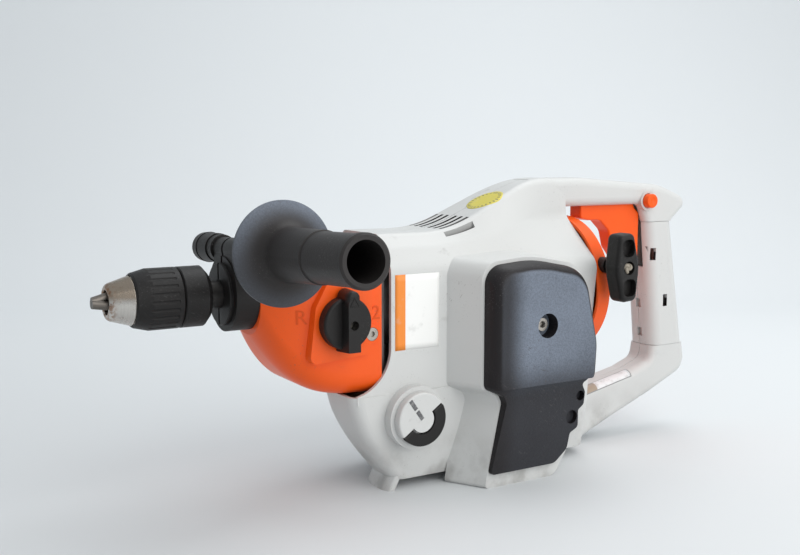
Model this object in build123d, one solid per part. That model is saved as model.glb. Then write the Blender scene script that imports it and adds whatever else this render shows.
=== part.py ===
"""Petrol drill with a keyless chuck, a three-position gearbox, a two-stroke engine and a closed rear handle.

Frame: the origin lies on the drill axis at the front face of the chuck nose. +X runs from the chuck to
the rear handle, +Z is up and -Y is the side with the air filter and the fuel cap. Units are millimetres.
"""

import os
from math import atan2, cos, degrees, pi, radians, sin, sqrt, tan

from build123d import *

os.makedirs("parts", exist_ok=True)

# Fits shared by several pieces
running_clearance = 0.05
loose_clearance = 0.4
parting_gap = 0.5

# Floor and overall stance
axis_height = 155.0
foot_height = 8.0

# Keyless chuck
chuck_diameter = 43.0
nose_front_diameter = 21.0
nose_rear_diameter = 34.0
nose_length = 11.5
front_sleeve_length = 32.5
rear_sleeve_length = 20.5
sleeve_gap = 0.6
sleeve_front_cone = 11.0
sleeve_flute_count = 24
sleeve_flute_radius = 1.5
sleeve_flute_depth = 0.6
chuck_core_diameter = 35.0
shank_bore_diameter = 13.4
shank_bore_depth = 47.0
jaw_diameter = 6.5
jaw_angle = 15.0
jaw_length = 34.0
jaw_protrusion = 14.0
jaw_tip_offset = 0.8
jaw_face_gap = 0.15
jaw_opening = 13.0
nut_front = 20.0
nut_width = 10.0
nut_wall = 1.7
chuck_tail_length = 3.0
chuck_tail_step = 6.0

# Spindle and its neck
spindle_nose_diameter = 12.7
spindle_collar_diameter = 20.0
spindle_hex = 14.0
spindle_tail_diameter = 12.0
neck_front = 75.7
neck_cap_diameter = 44.8
neck_cap_width = 3.0
neck_diameter = 43.0
neck_bore_diameter = 35.0
front_bearing_width = 12.0
rear_bearing_diameter = 22.0

# Side handle
clamp_front = 78.9
clamp_width = 17.5
clamp_diameter = 54.0
clamp_ear_width = 16.5
clamp_ear_length = 36.0
clamp_slot = 3.0
clamp_bolt_grip = 20.0
handle_bolt_depth = 60.0
handle_neck_diameter = 16.8
handle_offset = 31.6
handle_tilt = 2.6
handle_guard_distance = 87.0
handle_guard_diameter = 69.5
handle_end_distance = 197.0
handle_root_diameter = 35.0
handle_tube_diameter = 31.0
handle_lip_diameter = 32.5
handle_bore_diameter = 24.5
handle_bore_depth = 92.0
handle_lip_length = 6.0
handle_collar_distance = 145.0
clamp_bolt_diameter = 8.0
clamp_knob_diameter = 23.0
clamp_knob_length = 41.0

# Gear train: module, tooth counts and face widths
gear_module = 1.25
pressure_angle = 25.0
tooth_height_factor = 0.75
tooth_root_factor = 1.0
tooth_backlash = 0.3
input_teeth = 10
counter_wheel_teeth = 30
first_pinion_teeth = 14
first_wheel_teeth = 46
second_pinion_teeth = 28
second_wheel_teeth = 32
reverse_pinion_teeth = 14
idler_teeth = 15
gear_width = 6.0
first_gear_front = 133.0
wheel_spacing = 2.0
shift_travel = 10.5
groove_width = 4.0
groove_depth = 2.5
sliding_hub_diameter = 24.0
counter_shaft_diameter = 11.0
counter_journal_diameter = 8.0
counter_journal_length = 5.5
idler_pin_diameter = 8.0
bearing_plate_front = 167.0
bearing_plate_width = 6.0
plate_fit = 0.6
stage_gap = 2.0
pinion_clearance = 1.0

# Gear housing
gear_case_front = 96.4
gear_case_length = 87.6
gear_case_wall = 4.0
gear_cavity_front = 112.0
gear_case_bottom_front = 30.5
gear_case_bottom_rear = 77.0
gear_case_drop_power = 3.7
gear_case_half_width = 45.0
gear_case_top = 38.0
case_nose_half_width = 27.0
case_rear_radius = 18.0
case_screw_places = ((175.0, -31.0), (172.0, 18.0))
case_screw_diameter = 9.5
case_screw_sink = 2.5
case_screw_depth = 3.0
case_boss_diameter = 14.0
case_boss_proud = 2.0

# Gear selector
selector_x = 150.5
selector_drop = 20.0
selector_diameter = 38.0
selector_height = 9.0
selector_bar_width = 12.0
selector_bar_height = 9.0
selector_shaft_diameter = 9.0
selector_pin_radius = 11.0
selector_pin_diameter = 5.0
selector_pin_length = 7.0
selector_disc_face = 31.0
selector_pad_height = 2.4
selector_screw_diameter = 6.0
fork_slot_clearance = 1.5
fork_web_low = -14.0

# Clutch and input shaft
clutch_case_width = 6.0
clutch_case_inset = 7.0
input_shaft_diameter = 12.0
input_bearing_diameter = 26.0
drum_diameter = 60.0
drum_wall = 2.0
drum_length = 18.0
clutch_gap = 1.0
clutch_hub_diameter = 30.0
shoe_count = 3
bell_clearance = 3.0

# Engine on the crank axis
crank_diameter = 15.0
crank_end_diameter = 10.0
flywheel_diameter = 84.0
flywheel_width = 16.0
fan_blade_count = 16
fan_blade_height = 8.0
crankcase_front = 262.0
crankcase_length = 98.0
crankcase_half_width = 30.0
crankcase_depth = 36.0
bearing_boss_diameter = 34.0
cylinder_x = 325.0
cylinder_bore_diameter = 34.0
fin_count = 6
fin_thickness = 1.8
fin_pitch = 5.0
fin_size = 60.0
fin_taper = 3.0
cylinder_base = 16.0
plug_thread_diameter = 10.0
plug_stem_diameter = 8.0
plug_hex_radius = 8.0
boot_diameter = 14.0
lead_diameter = 9.0
carb_front = 310.0
carb_rear = 342.0
carb_top = 6.0
carb_bottom = -28.0
carb_outer = 64.0
carb_flange_diameter = 26.0
carb_throat_diameter = 18.0
filter_inner = 66.0
filter_depth = 12.0
filter_front = 275.0
filter_rear = 338.0
filter_top = 5.0
filter_bottom = -60.0

# White housing
wall = 3.0
opening_x = 191.0
lip_front = 157.5
lip_drop = 77.5
opening_corner_radius = 35.0
body_half_width = 47.0
body_front_top = 40.0
body_shoulder = 16.0
body_bottom = -85.0
hump_front = 236.0
hump_rear = 358.0
ridge_top = 79.0
front_ridge_half_width = 26.0
ridge_half_width = 15.0
narrow_front = 270.0
body_rear = 380.0
draw_front = 296.0
flank_swell = 1.5
flank_half_width = 17.5
flank_height = 47.0
rear_half_width = 58.0
rear_shoulder = 11.0
base_bottom_front = 197.0
base_half_width = 48.0
base_tuck = 8.0
base_rear = 390.0
base_corner_radius = 15.0
nose_corner_radius = 10.0
nose_bend_y = 6.0
nose_bend_radius = 50.0
nose_setback = 27.0
nose_step_depth = 2.0
nose_side_radius = 24.0
nose_slot_top = -100.0
nose_slot_bottom = -140.0
nose_slot_width = 1.8
front_foot_x = 190.5
front_foot_length = 8.5
front_foot_inner = 4.0
front_foot_reach = 40.0
front_foot_lean = 8.0
right_foot_x = 244.0
right_foot_length = 12.0
louvre_front = 249.0
louvre_length = 27.0
louvre_inner = 6.0
louvre_pitch = 8.0
louvre_width = 3.6
louvre_per_side = 4
housing_screw_places = ((212.0, -72.0), (240.0, 22.0), (364.0, -100.0))
housing_screw_diameter = 8.0
housing_screw_seat = 40.0

# Filter box and its cover on the left side
box_face = 72.0
box_root = 42.0
box_flare = 17.5
box_top_flare = 2.5
box_margin = 2.5
box_skirt = 8.5
box_rim = 1.5
cover_front = 257.0
cover_rear = 361.0
cover_top = 19.0
cover_bottom = 144.0
cover_step = 73.0
cover_depth = 15.0
cover_lower_depth = 7.0
cover_bevel = 8.0
cover_wall = 2.6
cover_screw_x = 306.0
cover_screw_drop = 30.5
cover_recess_diameter = 19.0
cover_recess_depth = 11.0
cover_screw_diameter = 10.0
cover_pockets = ((14.0, 18.5, 8.0), (22.0, 35.0, 11.0))
cover_pocket_wall = 1.6
cover_pocket_floor = 1.2

# Muffler side
muffler_face = 66.0
muffler_front = 284.0
muffler_rear = 366.0
muffler_top = 24.0
muffler_bottom = 62.0
muffler_inset = 10.0
muffler_slot_count = 7
muffler_slot_width = 4.0

# Fuel filler
cap_x = 209.0
cap_drop = 96.0
cap_diameter = 41.0
cap_height = 6.5
cap_boss_diameter = 48.0
cap_boss_height = 8.0
cap_hub_diameter = 19.0
bail_thickness = 4.0
bail_hub_gap = 1.4
bail_tilt = 35.0
filler_diameter = 34.0
filler_wall = 2.0
tank_rear = 262.0
tank_gap = 1.0
tank_top_drop = 8.0

# Closed rear handle
bar_half_width = 16.0
bar_underside = 54.5
bar_root = 345.0
bar_crown = 400.0
bar_fall = 493.0
bar_fall_top = 71.6
spur_height = 55.0
loop_floor = -96.0
loop_floor_x = 463.0
lower_bar_root = 372.0
rear_foot_x = 393.0
grip_top = 38.4
grip_bottom = -75.5
grip_front_top = 474.9
grip_front_bottom = 486.8
grip_rear_top = 508.5
grip_rear_bottom = 527.5
grip_half_width = 16.5
grip_round = 11.0
bar_round = 7.0
handle_rear = 528.0
handle_corner = 530.0
handle_wall = 3.0
grip_seam = 0.3
grip_slot_places = ((484.5, 9.0), (500.0, -34.0))
grip_slot_width = 5.0
grip_slot_height = 11.0
grip_notch_levels = (-37.0, -64.0)
grip_notch_width = 6.0
grip_notch_height = 8.0
grip_notch_depth = 3.5

# Throttle trigger and lock button
trigger_width = 15.0
trigger_front = 405.0
trigger_rear = 473.5
trigger_nose = 43.5
trigger_tip = 1.0
trigger_pivot_x = 411.0
trigger_pivot_z = 60.0
trigger_pin_diameter = 4.0
trigger_pin_seat = 2.0
trigger_side_clearance = 0.6
trigger_slot_reach = 12.0
trigger_pocket_top = 70.0
button_x = 475.0
button_z = 57.5
button_diameter = 8.0
button_head_diameter = 12.5
button_head_length = 7.5
button_travel = 3.0
button_floor_wall = 2.2
button_proud = 7.0
button_end = 11.4
button_boss_diameter = 17.5
button_dimple_radius = 7.0

# Recoil starter
starter_radius = 60.0
starter_depth = 18.0
starter_wall = 2.5
starter_post_diameter = 12.0
starter_hub_opening = 40.0
starter_grip_lean = 4.0
pulley_width = 9.0
rope_diameter = 4.0
rope_height = 8.5
rope_x = 389.0
guide_outer_diameter = 13.0
guide_tip_diameter = 10.0
guide_length = 8.0
starter_grip_height = 55.0
starter_grip_width = 25.0
starter_grip_tip = 15.0
starter_grip_depth = 17.0
starter_pocket_depth = 6.0
knot_well_diameter = 11.0

# Worked-out places
counter_drop = gear_module * (first_pinion_teeth + first_wheel_teeth) / 2
crank_drop = counter_drop - gear_module * (input_teeth + counter_wheel_teeth) / 2
pulley_radius = rope_height + crank_drop
floor_z = -axis_height
gear_case_rear = gear_case_front + gear_case_length
clutch_front = gear_case_rear + clutch_case_width
drum_front = clutch_front + 10.0
flywheel_front = drum_front + drum_length + 6.0


def rod_x(diameter, front, rear, y=0.0, z=0.0):
    """Round bar along X from front to rear."""
    return Pos(front, y, z) * Rot(0, 90, 0) * Cylinder(
        diameter / 2, rear - front, align=(Align.CENTER, Align.CENTER, Align.MIN))


def rod_y(diameter, start, end, x=0.0, z=0.0):
    """Round bar along Y from start to end, start below end."""
    return Pos(x, start, z) * Rot(-90, 0, 0) * Cylinder(
        diameter / 2, end - start, align=(Align.CENTER, Align.CENTER, Align.MIN))


def rod_z(diameter, bottom, top, x=0.0, y=0.0):
    """Round bar along Z from bottom to top."""
    return Pos(x, y, bottom) * Cylinder(
        diameter / 2, top - bottom, align=(Align.CENTER, Align.CENTER, Align.MIN))


def block(x0, x1, y0, y1, z0, z1):
    """Box between two corners."""
    return Pos((x0 + x1) / 2, (y0 + y1) / 2, (z0 + z1) / 2) * Box(x1 - x0, y1 - y0, z1 - z0)


def turned_x(points, y=0.0, z=0.0):
    """Solid turned about an axis along X from (x, radius) points."""
    face = Plane.XZ * make_face(Polyline(*points, close=True))
    return Pos(0, y, z) * revolve(face, axis=Axis.X)


def section_x(x, half_width, bottom, top, radius):
    """Rounded rectangle across the drill axis at x."""
    return Plane.YZ.offset(x) * Pos(0, (top + bottom) / 2) * RectangleRounded(
        2 * half_width, top - bottom, radius)


def slab_y(outline, start, depth, taper=0.0):
    """Outline in X and Z carried towards -Y from y = -start over depth, with draft."""
    return extrude(Plane.XZ.offset(start) * outline, amount=depth, taper=taper)


def polygon(points, radii):
    """Closed outline through points, each corner rounded by its radius."""
    sketch = make_face(Polyline(*points, close=True))
    for point, radius in zip(points, radii):
        if radius > 0:
            corner = sketch.vertices().sort_by_distance((point[0], point[1], 0))[0]
            sketch = fillet(corner, radius)
    return sketch


def involute_gear(teeth, front, width, phase, bore, y=0.0, z=0.0):
    """Spur gear along X with chord-faceted involute flanks and a tooth centred on the phase angle."""
    pitch_radius = gear_module * teeth / 2
    base_radius = pitch_radius * cos(radians(pressure_angle))
    tip_radius = pitch_radius + gear_module * tooth_height_factor
    root_radius = pitch_radius - gear_module * tooth_root_factor
    half_tooth = (pi * gear_module / 2 - tooth_backlash / 2) / (2 * pitch_radius)

    def involute(radius):
        ratio = sqrt(max((radius / base_radius) ** 2 - 1, 0))
        return ratio - atan2(ratio, 1)

    flank_start = max(base_radius, root_radius)
    steps = 3
    radii = [flank_start + (tip_radius - flank_start) * i / steps for i in range(steps + 1)]
    half_angles = [half_tooth + involute(pitch_radius) - involute(r) for r in radii]
    outline = [(root_radius, half_angles[0])] if root_radius < flank_start - 0.05 else []
    outline += list(zip(radii, half_angles))
    points = []
    for tooth in range(teeth):
        centre = radians(phase) + 2 * pi * tooth / teeth
        rising = [(r * cos(centre - a), r * sin(centre - a)) for r, a in outline]
        falling = [(r * cos(centre + a), r * sin(centre + a)) for r, a in reversed(outline)]
        points += rising + falling
    face = make_face(Polyline(*points, close=True)) - Circle(bore / 2)
    return Pos(0, y, z) * extrude(Plane.YZ.offset(front) * face, amount=width)


def mating_phase(phase, teeth, mate_teeth, direction):
    """Phase of a mating gear whose gap faces the first gear's nearest tooth along the line of centres."""
    turn = (direction - phase) * teeth
    offset = turn - 360.0 * round(turn / 360.0)
    return direction + 180.0 + 180.0 / mate_teeth + offset / mate_teeth


# Keyless chuck: a steel body with inclined jaw bores, three jaws, a nut and two sleeves
core_radius = chuck_core_diameter / 2
sleeve_radius = chuck_diameter / 2
front_sleeve_end = nose_length + sleeve_gap / 2 + front_sleeve_length
rear_sleeve_front = front_sleeve_end + sleeve_gap
chuck_rear = rear_sleeve_front + rear_sleeve_length
tail_front = chuck_rear - chuck_tail_length
tail_radius = core_radius - chuck_tail_step
jaw_reach = (jaw_opening / 2) / sin(radians(jaw_angle))


def jaw_frame(index):
    """Place of a jaw's centre line: X of the result runs along the jaw from its tip."""
    return (Rot(120.0 * index, 0, 0)
            * Pos(-jaw_protrusion, 0, jaw_tip_offset)
            * Rot(0, -jaw_angle, 0))


def jaw_bore(index):
    """Inclined bore that guides a jaw over its whole travel."""
    return jaw_frame(index) * rod_x(jaw_diameter + 2 * running_clearance, 0, jaw_length + jaw_reach + 1)


def chuck_jaw(index):
    """Inclined round jaw with a wedge of two gripping faces at its tip and a ground back."""
    bar = Pos(-jaw_protrusion, 0, jaw_tip_offset) * Rot(0, -jaw_angle, 0) * rod_x(
        jaw_diameter, -jaw_diameter, jaw_length)
    reach = chuck_diameter
    tip_face = block(-jaw_protrusion, reach, -reach, reach, -reach, reach)
    wedge = make_face(Polyline((0, jaw_face_gap), (reach * tan(radians(60)), reach + jaw_face_gap),
                               (-reach * tan(radians(60)), reach + jaw_face_gap), close=True))
    sector = extrude(Plane.YZ.offset(-jaw_protrusion) * wedge, amount=2 * reach)
    back_height = core_radius - 0.3 - jaw_opening / 2
    back = block(-reach, reach, -reach, reach, -reach, back_height)
    return Rot(120.0 * index, 0, 0) * (bar & tip_face & sector & back)


def chuck_body():
    """Steel nose cone and core with a shank bore, a threaded tail and three jaw bores."""
    body = turned_x([
        (0.8, 0), (0.8, nose_front_diameter / 2 - 0.8), (1.6, nose_front_diameter / 2),
        (nose_length - 1, nose_rear_diameter / 2), (nose_length, nose_rear_diameter / 2),
        (nose_length, core_radius - 2), (nose_length + 2, core_radius),
        (tail_front, core_radius), (tail_front, tail_radius), (chuck_rear, tail_radius), (chuck_rear, 0)])
    body -= rod_x(shank_bore_diameter, 0, shank_bore_depth)
    body -= rod_x(spindle_nose_diameter, shank_bore_depth - 1, chuck_rear + 1)
    for index in range(3):
        body -= jaw_bore(index)
    return body


def chuck_front_sleeve():
    """Ribbed black sleeve that turns the nut; its inside is grooved for the nut."""
    start = nose_length + sleeve_gap / 2
    bore = core_radius + running_clearance
    sleeve = turned_x([
        (start, bore), (start, nose_rear_diameter / 2 + 1.0), (start + 1.2, nose_rear_diameter / 2 + 2.0),
        (start + sleeve_front_cone, sleeve_radius), (front_sleeve_end - 0.8, sleeve_radius),
        (front_sleeve_end, sleeve_radius - 0.8), (front_sleeve_end, bore)])
    flute_centre = sleeve_radius + sleeve_flute_radius - sleeve_flute_depth
    for index in range(sleeve_flute_count):
        angle = 360.0 * index / sleeve_flute_count
        sleeve -= Rot(angle, 0, 0) * rod_x(
            2 * sleeve_flute_radius, start + 6, front_sleeve_end - 4, z=flute_centre)
    return sleeve - rod_x(2 * (core_radius + running_clearance + nut_wall), nut_front, nut_front + nut_width)


def chuck_nut():
    """Ring nut that drives the jaws, held in the front sleeve."""
    outer = rod_x(2 * (core_radius + running_clearance + nut_wall), nut_front, nut_front + nut_width)
    return outer - rod_x(2 * (core_radius + running_clearance), nut_front - 1, nut_front + nut_width + 1)


def chuck_rear_sleeve():
    """Plain worn sleeve pressed on the core, chamfered towards the neck."""
    return turned_x([
        (rear_sleeve_front, core_radius), (rear_sleeve_front, sleeve_radius - 0.8),
        (rear_sleeve_front + 0.8, sleeve_radius), (chuck_rear - 4, sleeve_radius),
        (chuck_rear, sleeve_radius - 4.5), (chuck_rear, tail_radius), (tail_front, tail_radius),
        (tail_front, core_radius)])


# Spindle and neck
counter_axis_z = -counter_drop
crank_axis_z = -crank_drop
first_gear_rear = first_gear_front + gear_width
second_wheel_front = first_gear_rear + wheel_spacing
second_wheel_rear = second_wheel_front + gear_width
groove_front = second_wheel_rear + 1.5
sliding_rear = groove_front + groove_width + 2.0
second_pinion_front = second_wheel_front + shift_travel
reverse_front = first_gear_front - shift_travel
bearing_plate_rear = bearing_plate_front + bearing_plate_width
final_front = bearing_plate_rear + stage_gap
front_bearing_front = neck_front + neck_cap_width + 1.5
front_bearing_rear = front_bearing_front + front_bearing_width


def spindle():
    """Output shaft: threaded nose, bearing collar, hexagonal gear seat and rear journal."""
    hex_radius = spindle_hex / sqrt(3)
    seat_front = front_bearing_rear + 2
    seat_rear = bearing_plate_front - 2
    nose = rod_x(spindle_nose_diameter, shank_bore_depth, chuck_rear + 1)
    collar = rod_x(spindle_collar_diameter, chuck_rear + 0.3, seat_front)
    seat = extrude(Plane.YZ.offset(seat_front - 1) * RegularPolygon(hex_radius, 6),
                   amount=seat_rear - seat_front + 1)
    journal = rod_x(spindle_tail_diameter, seat_rear - 1, bearing_plate_rear)
    return nose + collar + seat + journal


def ring_bearing(outer, inner, front, rear, y=0.0, z=0.0):
    """Ball bearing drawn as two races and shields, with a groove on each side and a running fit inside."""
    ring = rod_x(outer, front, rear, y, z) - rod_x(inner + 2 * running_clearance, front - 1, rear + 1, y, z)
    middle = (outer + inner) / 2
    groove = (outer - inner) / 6
    for start in (front - 1, rear - 0.8):
        ring -= rod_x(middle + groove, start, start + 1.8, y, z) - rod_x(
            middle - groove, start - 1, start + 3, y, z)
    return ring


def shaft_bearings():
    """Front and rear bearings of the spindle and the bearing of the input shaft."""
    front = ring_bearing(neck_bore_diameter, spindle_collar_diameter, front_bearing_front, front_bearing_rear)
    rear = ring_bearing(rear_bearing_diameter, spindle_tail_diameter, bearing_plate_front, bearing_plate_rear)
    drive = ring_bearing(input_bearing_diameter, input_shaft_diameter, gear_case_rear, clutch_front + 4,
                         z=crank_axis_z)
    return Compound(children=[front, rear, drive])


def neck_cap():
    """Flat split disc that closes the neck around the spindle."""
    cap = turned_x([
        (neck_front, spindle_collar_diameter / 2 + loose_clearance), (neck_front, neck_cap_diameter / 2 - 0.6),
        (neck_front + 0.6, neck_cap_diameter / 2), (neck_front + neck_cap_width, neck_cap_diameter / 2),
        (neck_front + neck_cap_width, spindle_collar_diameter / 2 + loose_clearance)])
    slot = block(neck_front - 1, neck_front + 1.2, -1.2, 1.2, 0, neck_cap_diameter)
    return cap - slot - Rot(180, 0, 0) * slot


# Side handle: clamp ring with an eared bridge, bolt, far-side knob and the guarded grip
clamp_rear = clamp_front + clamp_width
clamp_x = (clamp_front + clamp_rear) / 2
handle_frame = Rot(-handle_tilt, 0, 0)


def handle_rod(diameter, near, far):
    """Round bar on the handle axis between two distances towards -Y from the drill axis."""
    return handle_frame * rod_y(diameter, -far, -near, clamp_x, handle_offset)


def handle_turned(points):
    """Solid turned about the handle axis from (distance, radius) points."""
    face = make_face(Polyline(*[(-d, r) for d, r in points], close=True))
    solid = revolve(Plane.XY * face, axis=Axis.X)
    return handle_frame * Pos(clamp_x, 0, handle_offset) * Rot(0, 0, 90) * solid


def handle_clamp():
    """Clamp ring on the neck with a bridge above it that takes the handle bolt."""
    ring = rod_x(clamp_diameter, clamp_front, clamp_rear)
    bridge = handle_rod(clamp_ear_width, -clamp_ear_length / 2, clamp_ear_length / 2)
    web = handle_frame * block(clamp_front + 1.0, clamp_rear - 1.0, -clamp_ear_length / 2, clamp_ear_length / 2,
                               clamp_diameter / 4, handle_offset)
    clamp = ring + bridge + web
    clamp -= rod_x(neck_diameter + 4 * running_clearance, clamp_front - 1, clamp_rear + 1)
    clamp -= handle_rod(clamp_bolt_diameter + 2 * loose_clearance, -clamp_ear_length, clamp_ear_length)
    slot = handle_frame * block(clamp_front - 1, clamp_rear + 1, -clamp_slot / 2, clamp_slot / 2,
                                0, handle_offset + clamp_ear_width)
    return clamp - slot


def clamp_bolt():
    """Bolt from the far knob through the clamp ears into the handle root."""
    return handle_rod(clamp_bolt_diameter, -clamp_ear_length / 2 - clamp_bolt_grip, handle_bolt_depth)


def clamp_knob():
    """Grooved round knob on the far end of the bolt."""
    near = -clamp_ear_length / 2 - 0.3
    far = near - clamp_knob_length
    radius = clamp_knob_diameter / 2
    knob = handle_turned([
        (near, 0), (near, radius - 1.5), (near - 8, radius - 1.5), (near - 8, radius - 2.2),
        (near - 9, radius - 2.2), (near - 9, radius - 0.7), (near - 26, radius - 0.4),
        (near - 26, radius - 1.2), (near - 27, radius - 1.2), (near - 27, radius), (far + 5, radius - 0.5),
        (far, radius - 4.5), (far, 0)])
    return knob - handle_rod(clamp_bolt_diameter, -clamp_ear_length / 2 - clamp_bolt_grip, 0)


def side_handle():
    """Hollow handgrip with a flared guard disc, a collar step and a lipped open end."""
    root = clamp_ear_length / 2 + 0.3
    guard = handle_guard_distance
    guard_radius = handle_guard_diameter / 2
    tube_radius = handle_tube_diameter / 2
    root_radius = handle_root_diameter / 2
    lip_radius = handle_lip_diameter / 2
    bore_radius = handle_bore_diameter / 2
    lip_start = handle_end_distance - handle_lip_length
    bolt_radius = clamp_bolt_diameter / 2 + running_clearance
    bore_floor = handle_end_distance - handle_bore_depth
    points = [
        (root, bolt_radius), (root, handle_neck_diameter / 2), (guard - 6, handle_neck_diameter / 2),
        (guard - 2, guard_radius - 1), (guard - 1, guard_radius), (guard + 1.5, guard_radius),
        (guard + 7, root_radius), (handle_collar_distance, tube_radius + 1.2),
        (handle_collar_distance + 0.5, tube_radius + 0.4), (lip_start, tube_radius),
        (lip_start + 1, lip_radius), (handle_end_distance - 1.2, lip_radius),
        (handle_end_distance, lip_radius - 1.4), (handle_end_distance, bore_radius),
        (bore_floor, bore_radius), (bore_floor, 0),
        (handle_bolt_depth + 0.5, 0), (handle_bolt_depth + 0.5, bolt_radius)]
    radii = [0] * len(points)
    radii[2] = 3.0
    radii[6] = 11.0
    profile = polygon([(-d, r) for d, r in points], radii)
    solid = revolve(Plane.XY * profile, axis=Axis.X)
    return handle_frame * Pos(clamp_x, 0, handle_offset) * Rot(0, 0, 90) * solid


# Gear train
sliding_phase = 90.0
counter_down = -90.0
first_pinion_phase = mating_phase(sliding_phase, first_wheel_teeth, first_pinion_teeth, counter_down)
second_pinion_phase = mating_phase(sliding_phase, second_wheel_teeth, second_pinion_teeth, counter_down)
idler_spindle = gear_module * (idler_teeth + first_wheel_teeth) / 2
idler_counter = gear_module * (idler_teeth + reverse_pinion_teeth) / 2
idler_z = (idler_counter ** 2 - idler_spindle ** 2 - counter_drop ** 2) / (2 * counter_drop)
idler_y = sqrt(idler_spindle ** 2 - idler_z ** 2)
idler_from_spindle = degrees(atan2(idler_z, idler_y))
counter_from_idler = degrees(atan2(counter_axis_z - idler_z, -idler_y))
idler_phase = mating_phase(sliding_phase, first_wheel_teeth, idler_teeth, idler_from_spindle)
reverse_pinion_phase = mating_phase(idler_phase, idler_teeth, reverse_pinion_teeth, counter_from_idler)
input_phase = mating_phase(sliding_phase, counter_wheel_teeth, input_teeth, 90.0)
idler_front = reverse_front - gear_width
idler_rear = reverse_front + gear_width


def sliding_gear():
    """Two-wheel cluster that slides on the hexagonal spindle seat, grooved for the shift fork."""
    hub_radius = sliding_hub_diameter / 2
    bore = 2 * (spindle_hex / sqrt(3) + 1)
    cluster = involute_gear(first_wheel_teeth, first_gear_front, gear_width, sliding_phase, bore)
    cluster += involute_gear(second_wheel_teeth, second_wheel_front, gear_width, sliding_phase, bore)
    cluster += rod_x(sliding_hub_diameter, first_gear_front, sliding_rear)
    groove_rear = groove_front + groove_width
    groove = rod_x(2 * hub_radius + 2, groove_front, groove_rear)
    cluster -= groove - rod_x(2 * (hub_radius - groove_depth), groove_front - 1, groove_rear + 1)
    hexagon = RegularPolygon(spindle_hex / sqrt(3) + 2 * running_clearance, 6)
    return cluster - extrude(Plane.YZ.offset(first_gear_front - 1) * hexagon,
                             amount=sliding_rear - first_gear_front + 2)


def countershaft():
    """Layshaft with its reverse, first and second pinions and the wheel that the input pinion drives."""
    z = counter_axis_z
    journal = rod_x(counter_journal_diameter, gear_cavity_front - counter_journal_length, idler_front - 1, z=z)
    shaft = rod_x(counter_shaft_diameter, idler_front - 2, final_front + gear_width, z=z) + journal
    inner = counter_shaft_diameter - 1
    short = gear_width - 0.5
    shaft += involute_gear(reverse_pinion_teeth, idler_front, short, reverse_pinion_phase, inner, z=z)
    wheels = ((first_pinion_teeth, first_gear_front, first_pinion_phase),
              (second_pinion_teeth, second_pinion_front, second_pinion_phase),
              (counter_wheel_teeth, final_front, sliding_phase))
    for teeth, front, phase in wheels:
        shaft += involute_gear(teeth, front, gear_width, phase, inner, z=z)
    return shaft


def reverse_idler():
    """Idler that turns the first wheel backwards when the cluster slides forward."""
    bore = idler_pin_diameter + 2 * running_clearance
    width = idler_rear - idler_front
    return involute_gear(idler_teeth, idler_front, width, idler_phase, bore, idler_y, idler_z)


def idler_pin():
    """Fixed pin in the case front that carries the idler."""
    front = gear_cavity_front - counter_journal_length
    return rod_x(idler_pin_diameter, front, idler_rear + 1, idler_y, idler_z)


def input_shaft():
    """Shaft from the clutch drum with the input pinion on its overhung end."""
    pinion = involute_gear(input_teeth, final_front, gear_width, input_phase, input_shaft_diameter / 2,
                           z=crank_axis_z)
    core_diameter = gear_module * (input_teeth - 2 * tooth_root_factor)
    stem = rod_x(core_diameter, final_front, final_front + gear_width + 1, z=crank_axis_z)
    return pinion + stem + rod_x(input_shaft_diameter, final_front + gear_width + 0.5, drum_front + drum_wall,
                                 z=crank_axis_z)


# Gear housing: a rounded casting that deepens towards the rear, open at the back
case_stations = (0.0, 0.1, 0.32, 0.66, 1.0)
boss_face = gear_case_half_width + case_boss_proud
screw_seat = boss_face - case_screw_sink
screw_end = gear_case_half_width - case_screw_depth


def side_rod(diameter, side, near, far, x, z):
    """Round bar along Y on the left (-1) or right (+1) side between two distances from the mid-plane."""
    start, end = sorted((side * near, side * far))
    return rod_y(diameter, start, end, x, z)


def case_size(share, inset=0.0):
    """Half width, bottom, top and corner radius of the gear housing at a share of its length."""
    swell = 1 - (1 - share) ** 3
    half_width = case_nose_half_width + (gear_case_half_width - case_nose_half_width) * swell
    drop = 1 - (1 - share) ** gear_case_drop_power
    bottom = -(gear_case_bottom_front + (gear_case_bottom_rear - gear_case_bottom_front) * drop)
    top = case_nose_half_width + (gear_case_top - case_nose_half_width) * swell
    radius = case_nose_half_width - 3 - (case_nose_half_width - case_rear_radius) * share
    return half_width - inset, bottom + inset, top - inset, radius - inset


def case_section(x, inset=0.0):
    """Section of the gear housing across the drill axis."""
    share = min(max((x - gear_case_front) / gear_case_length, 0.0), 1.0)
    half_width, bottom, top, radius = case_size(share, inset)
    return section_x(x, half_width, bottom, top, radius)


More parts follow.
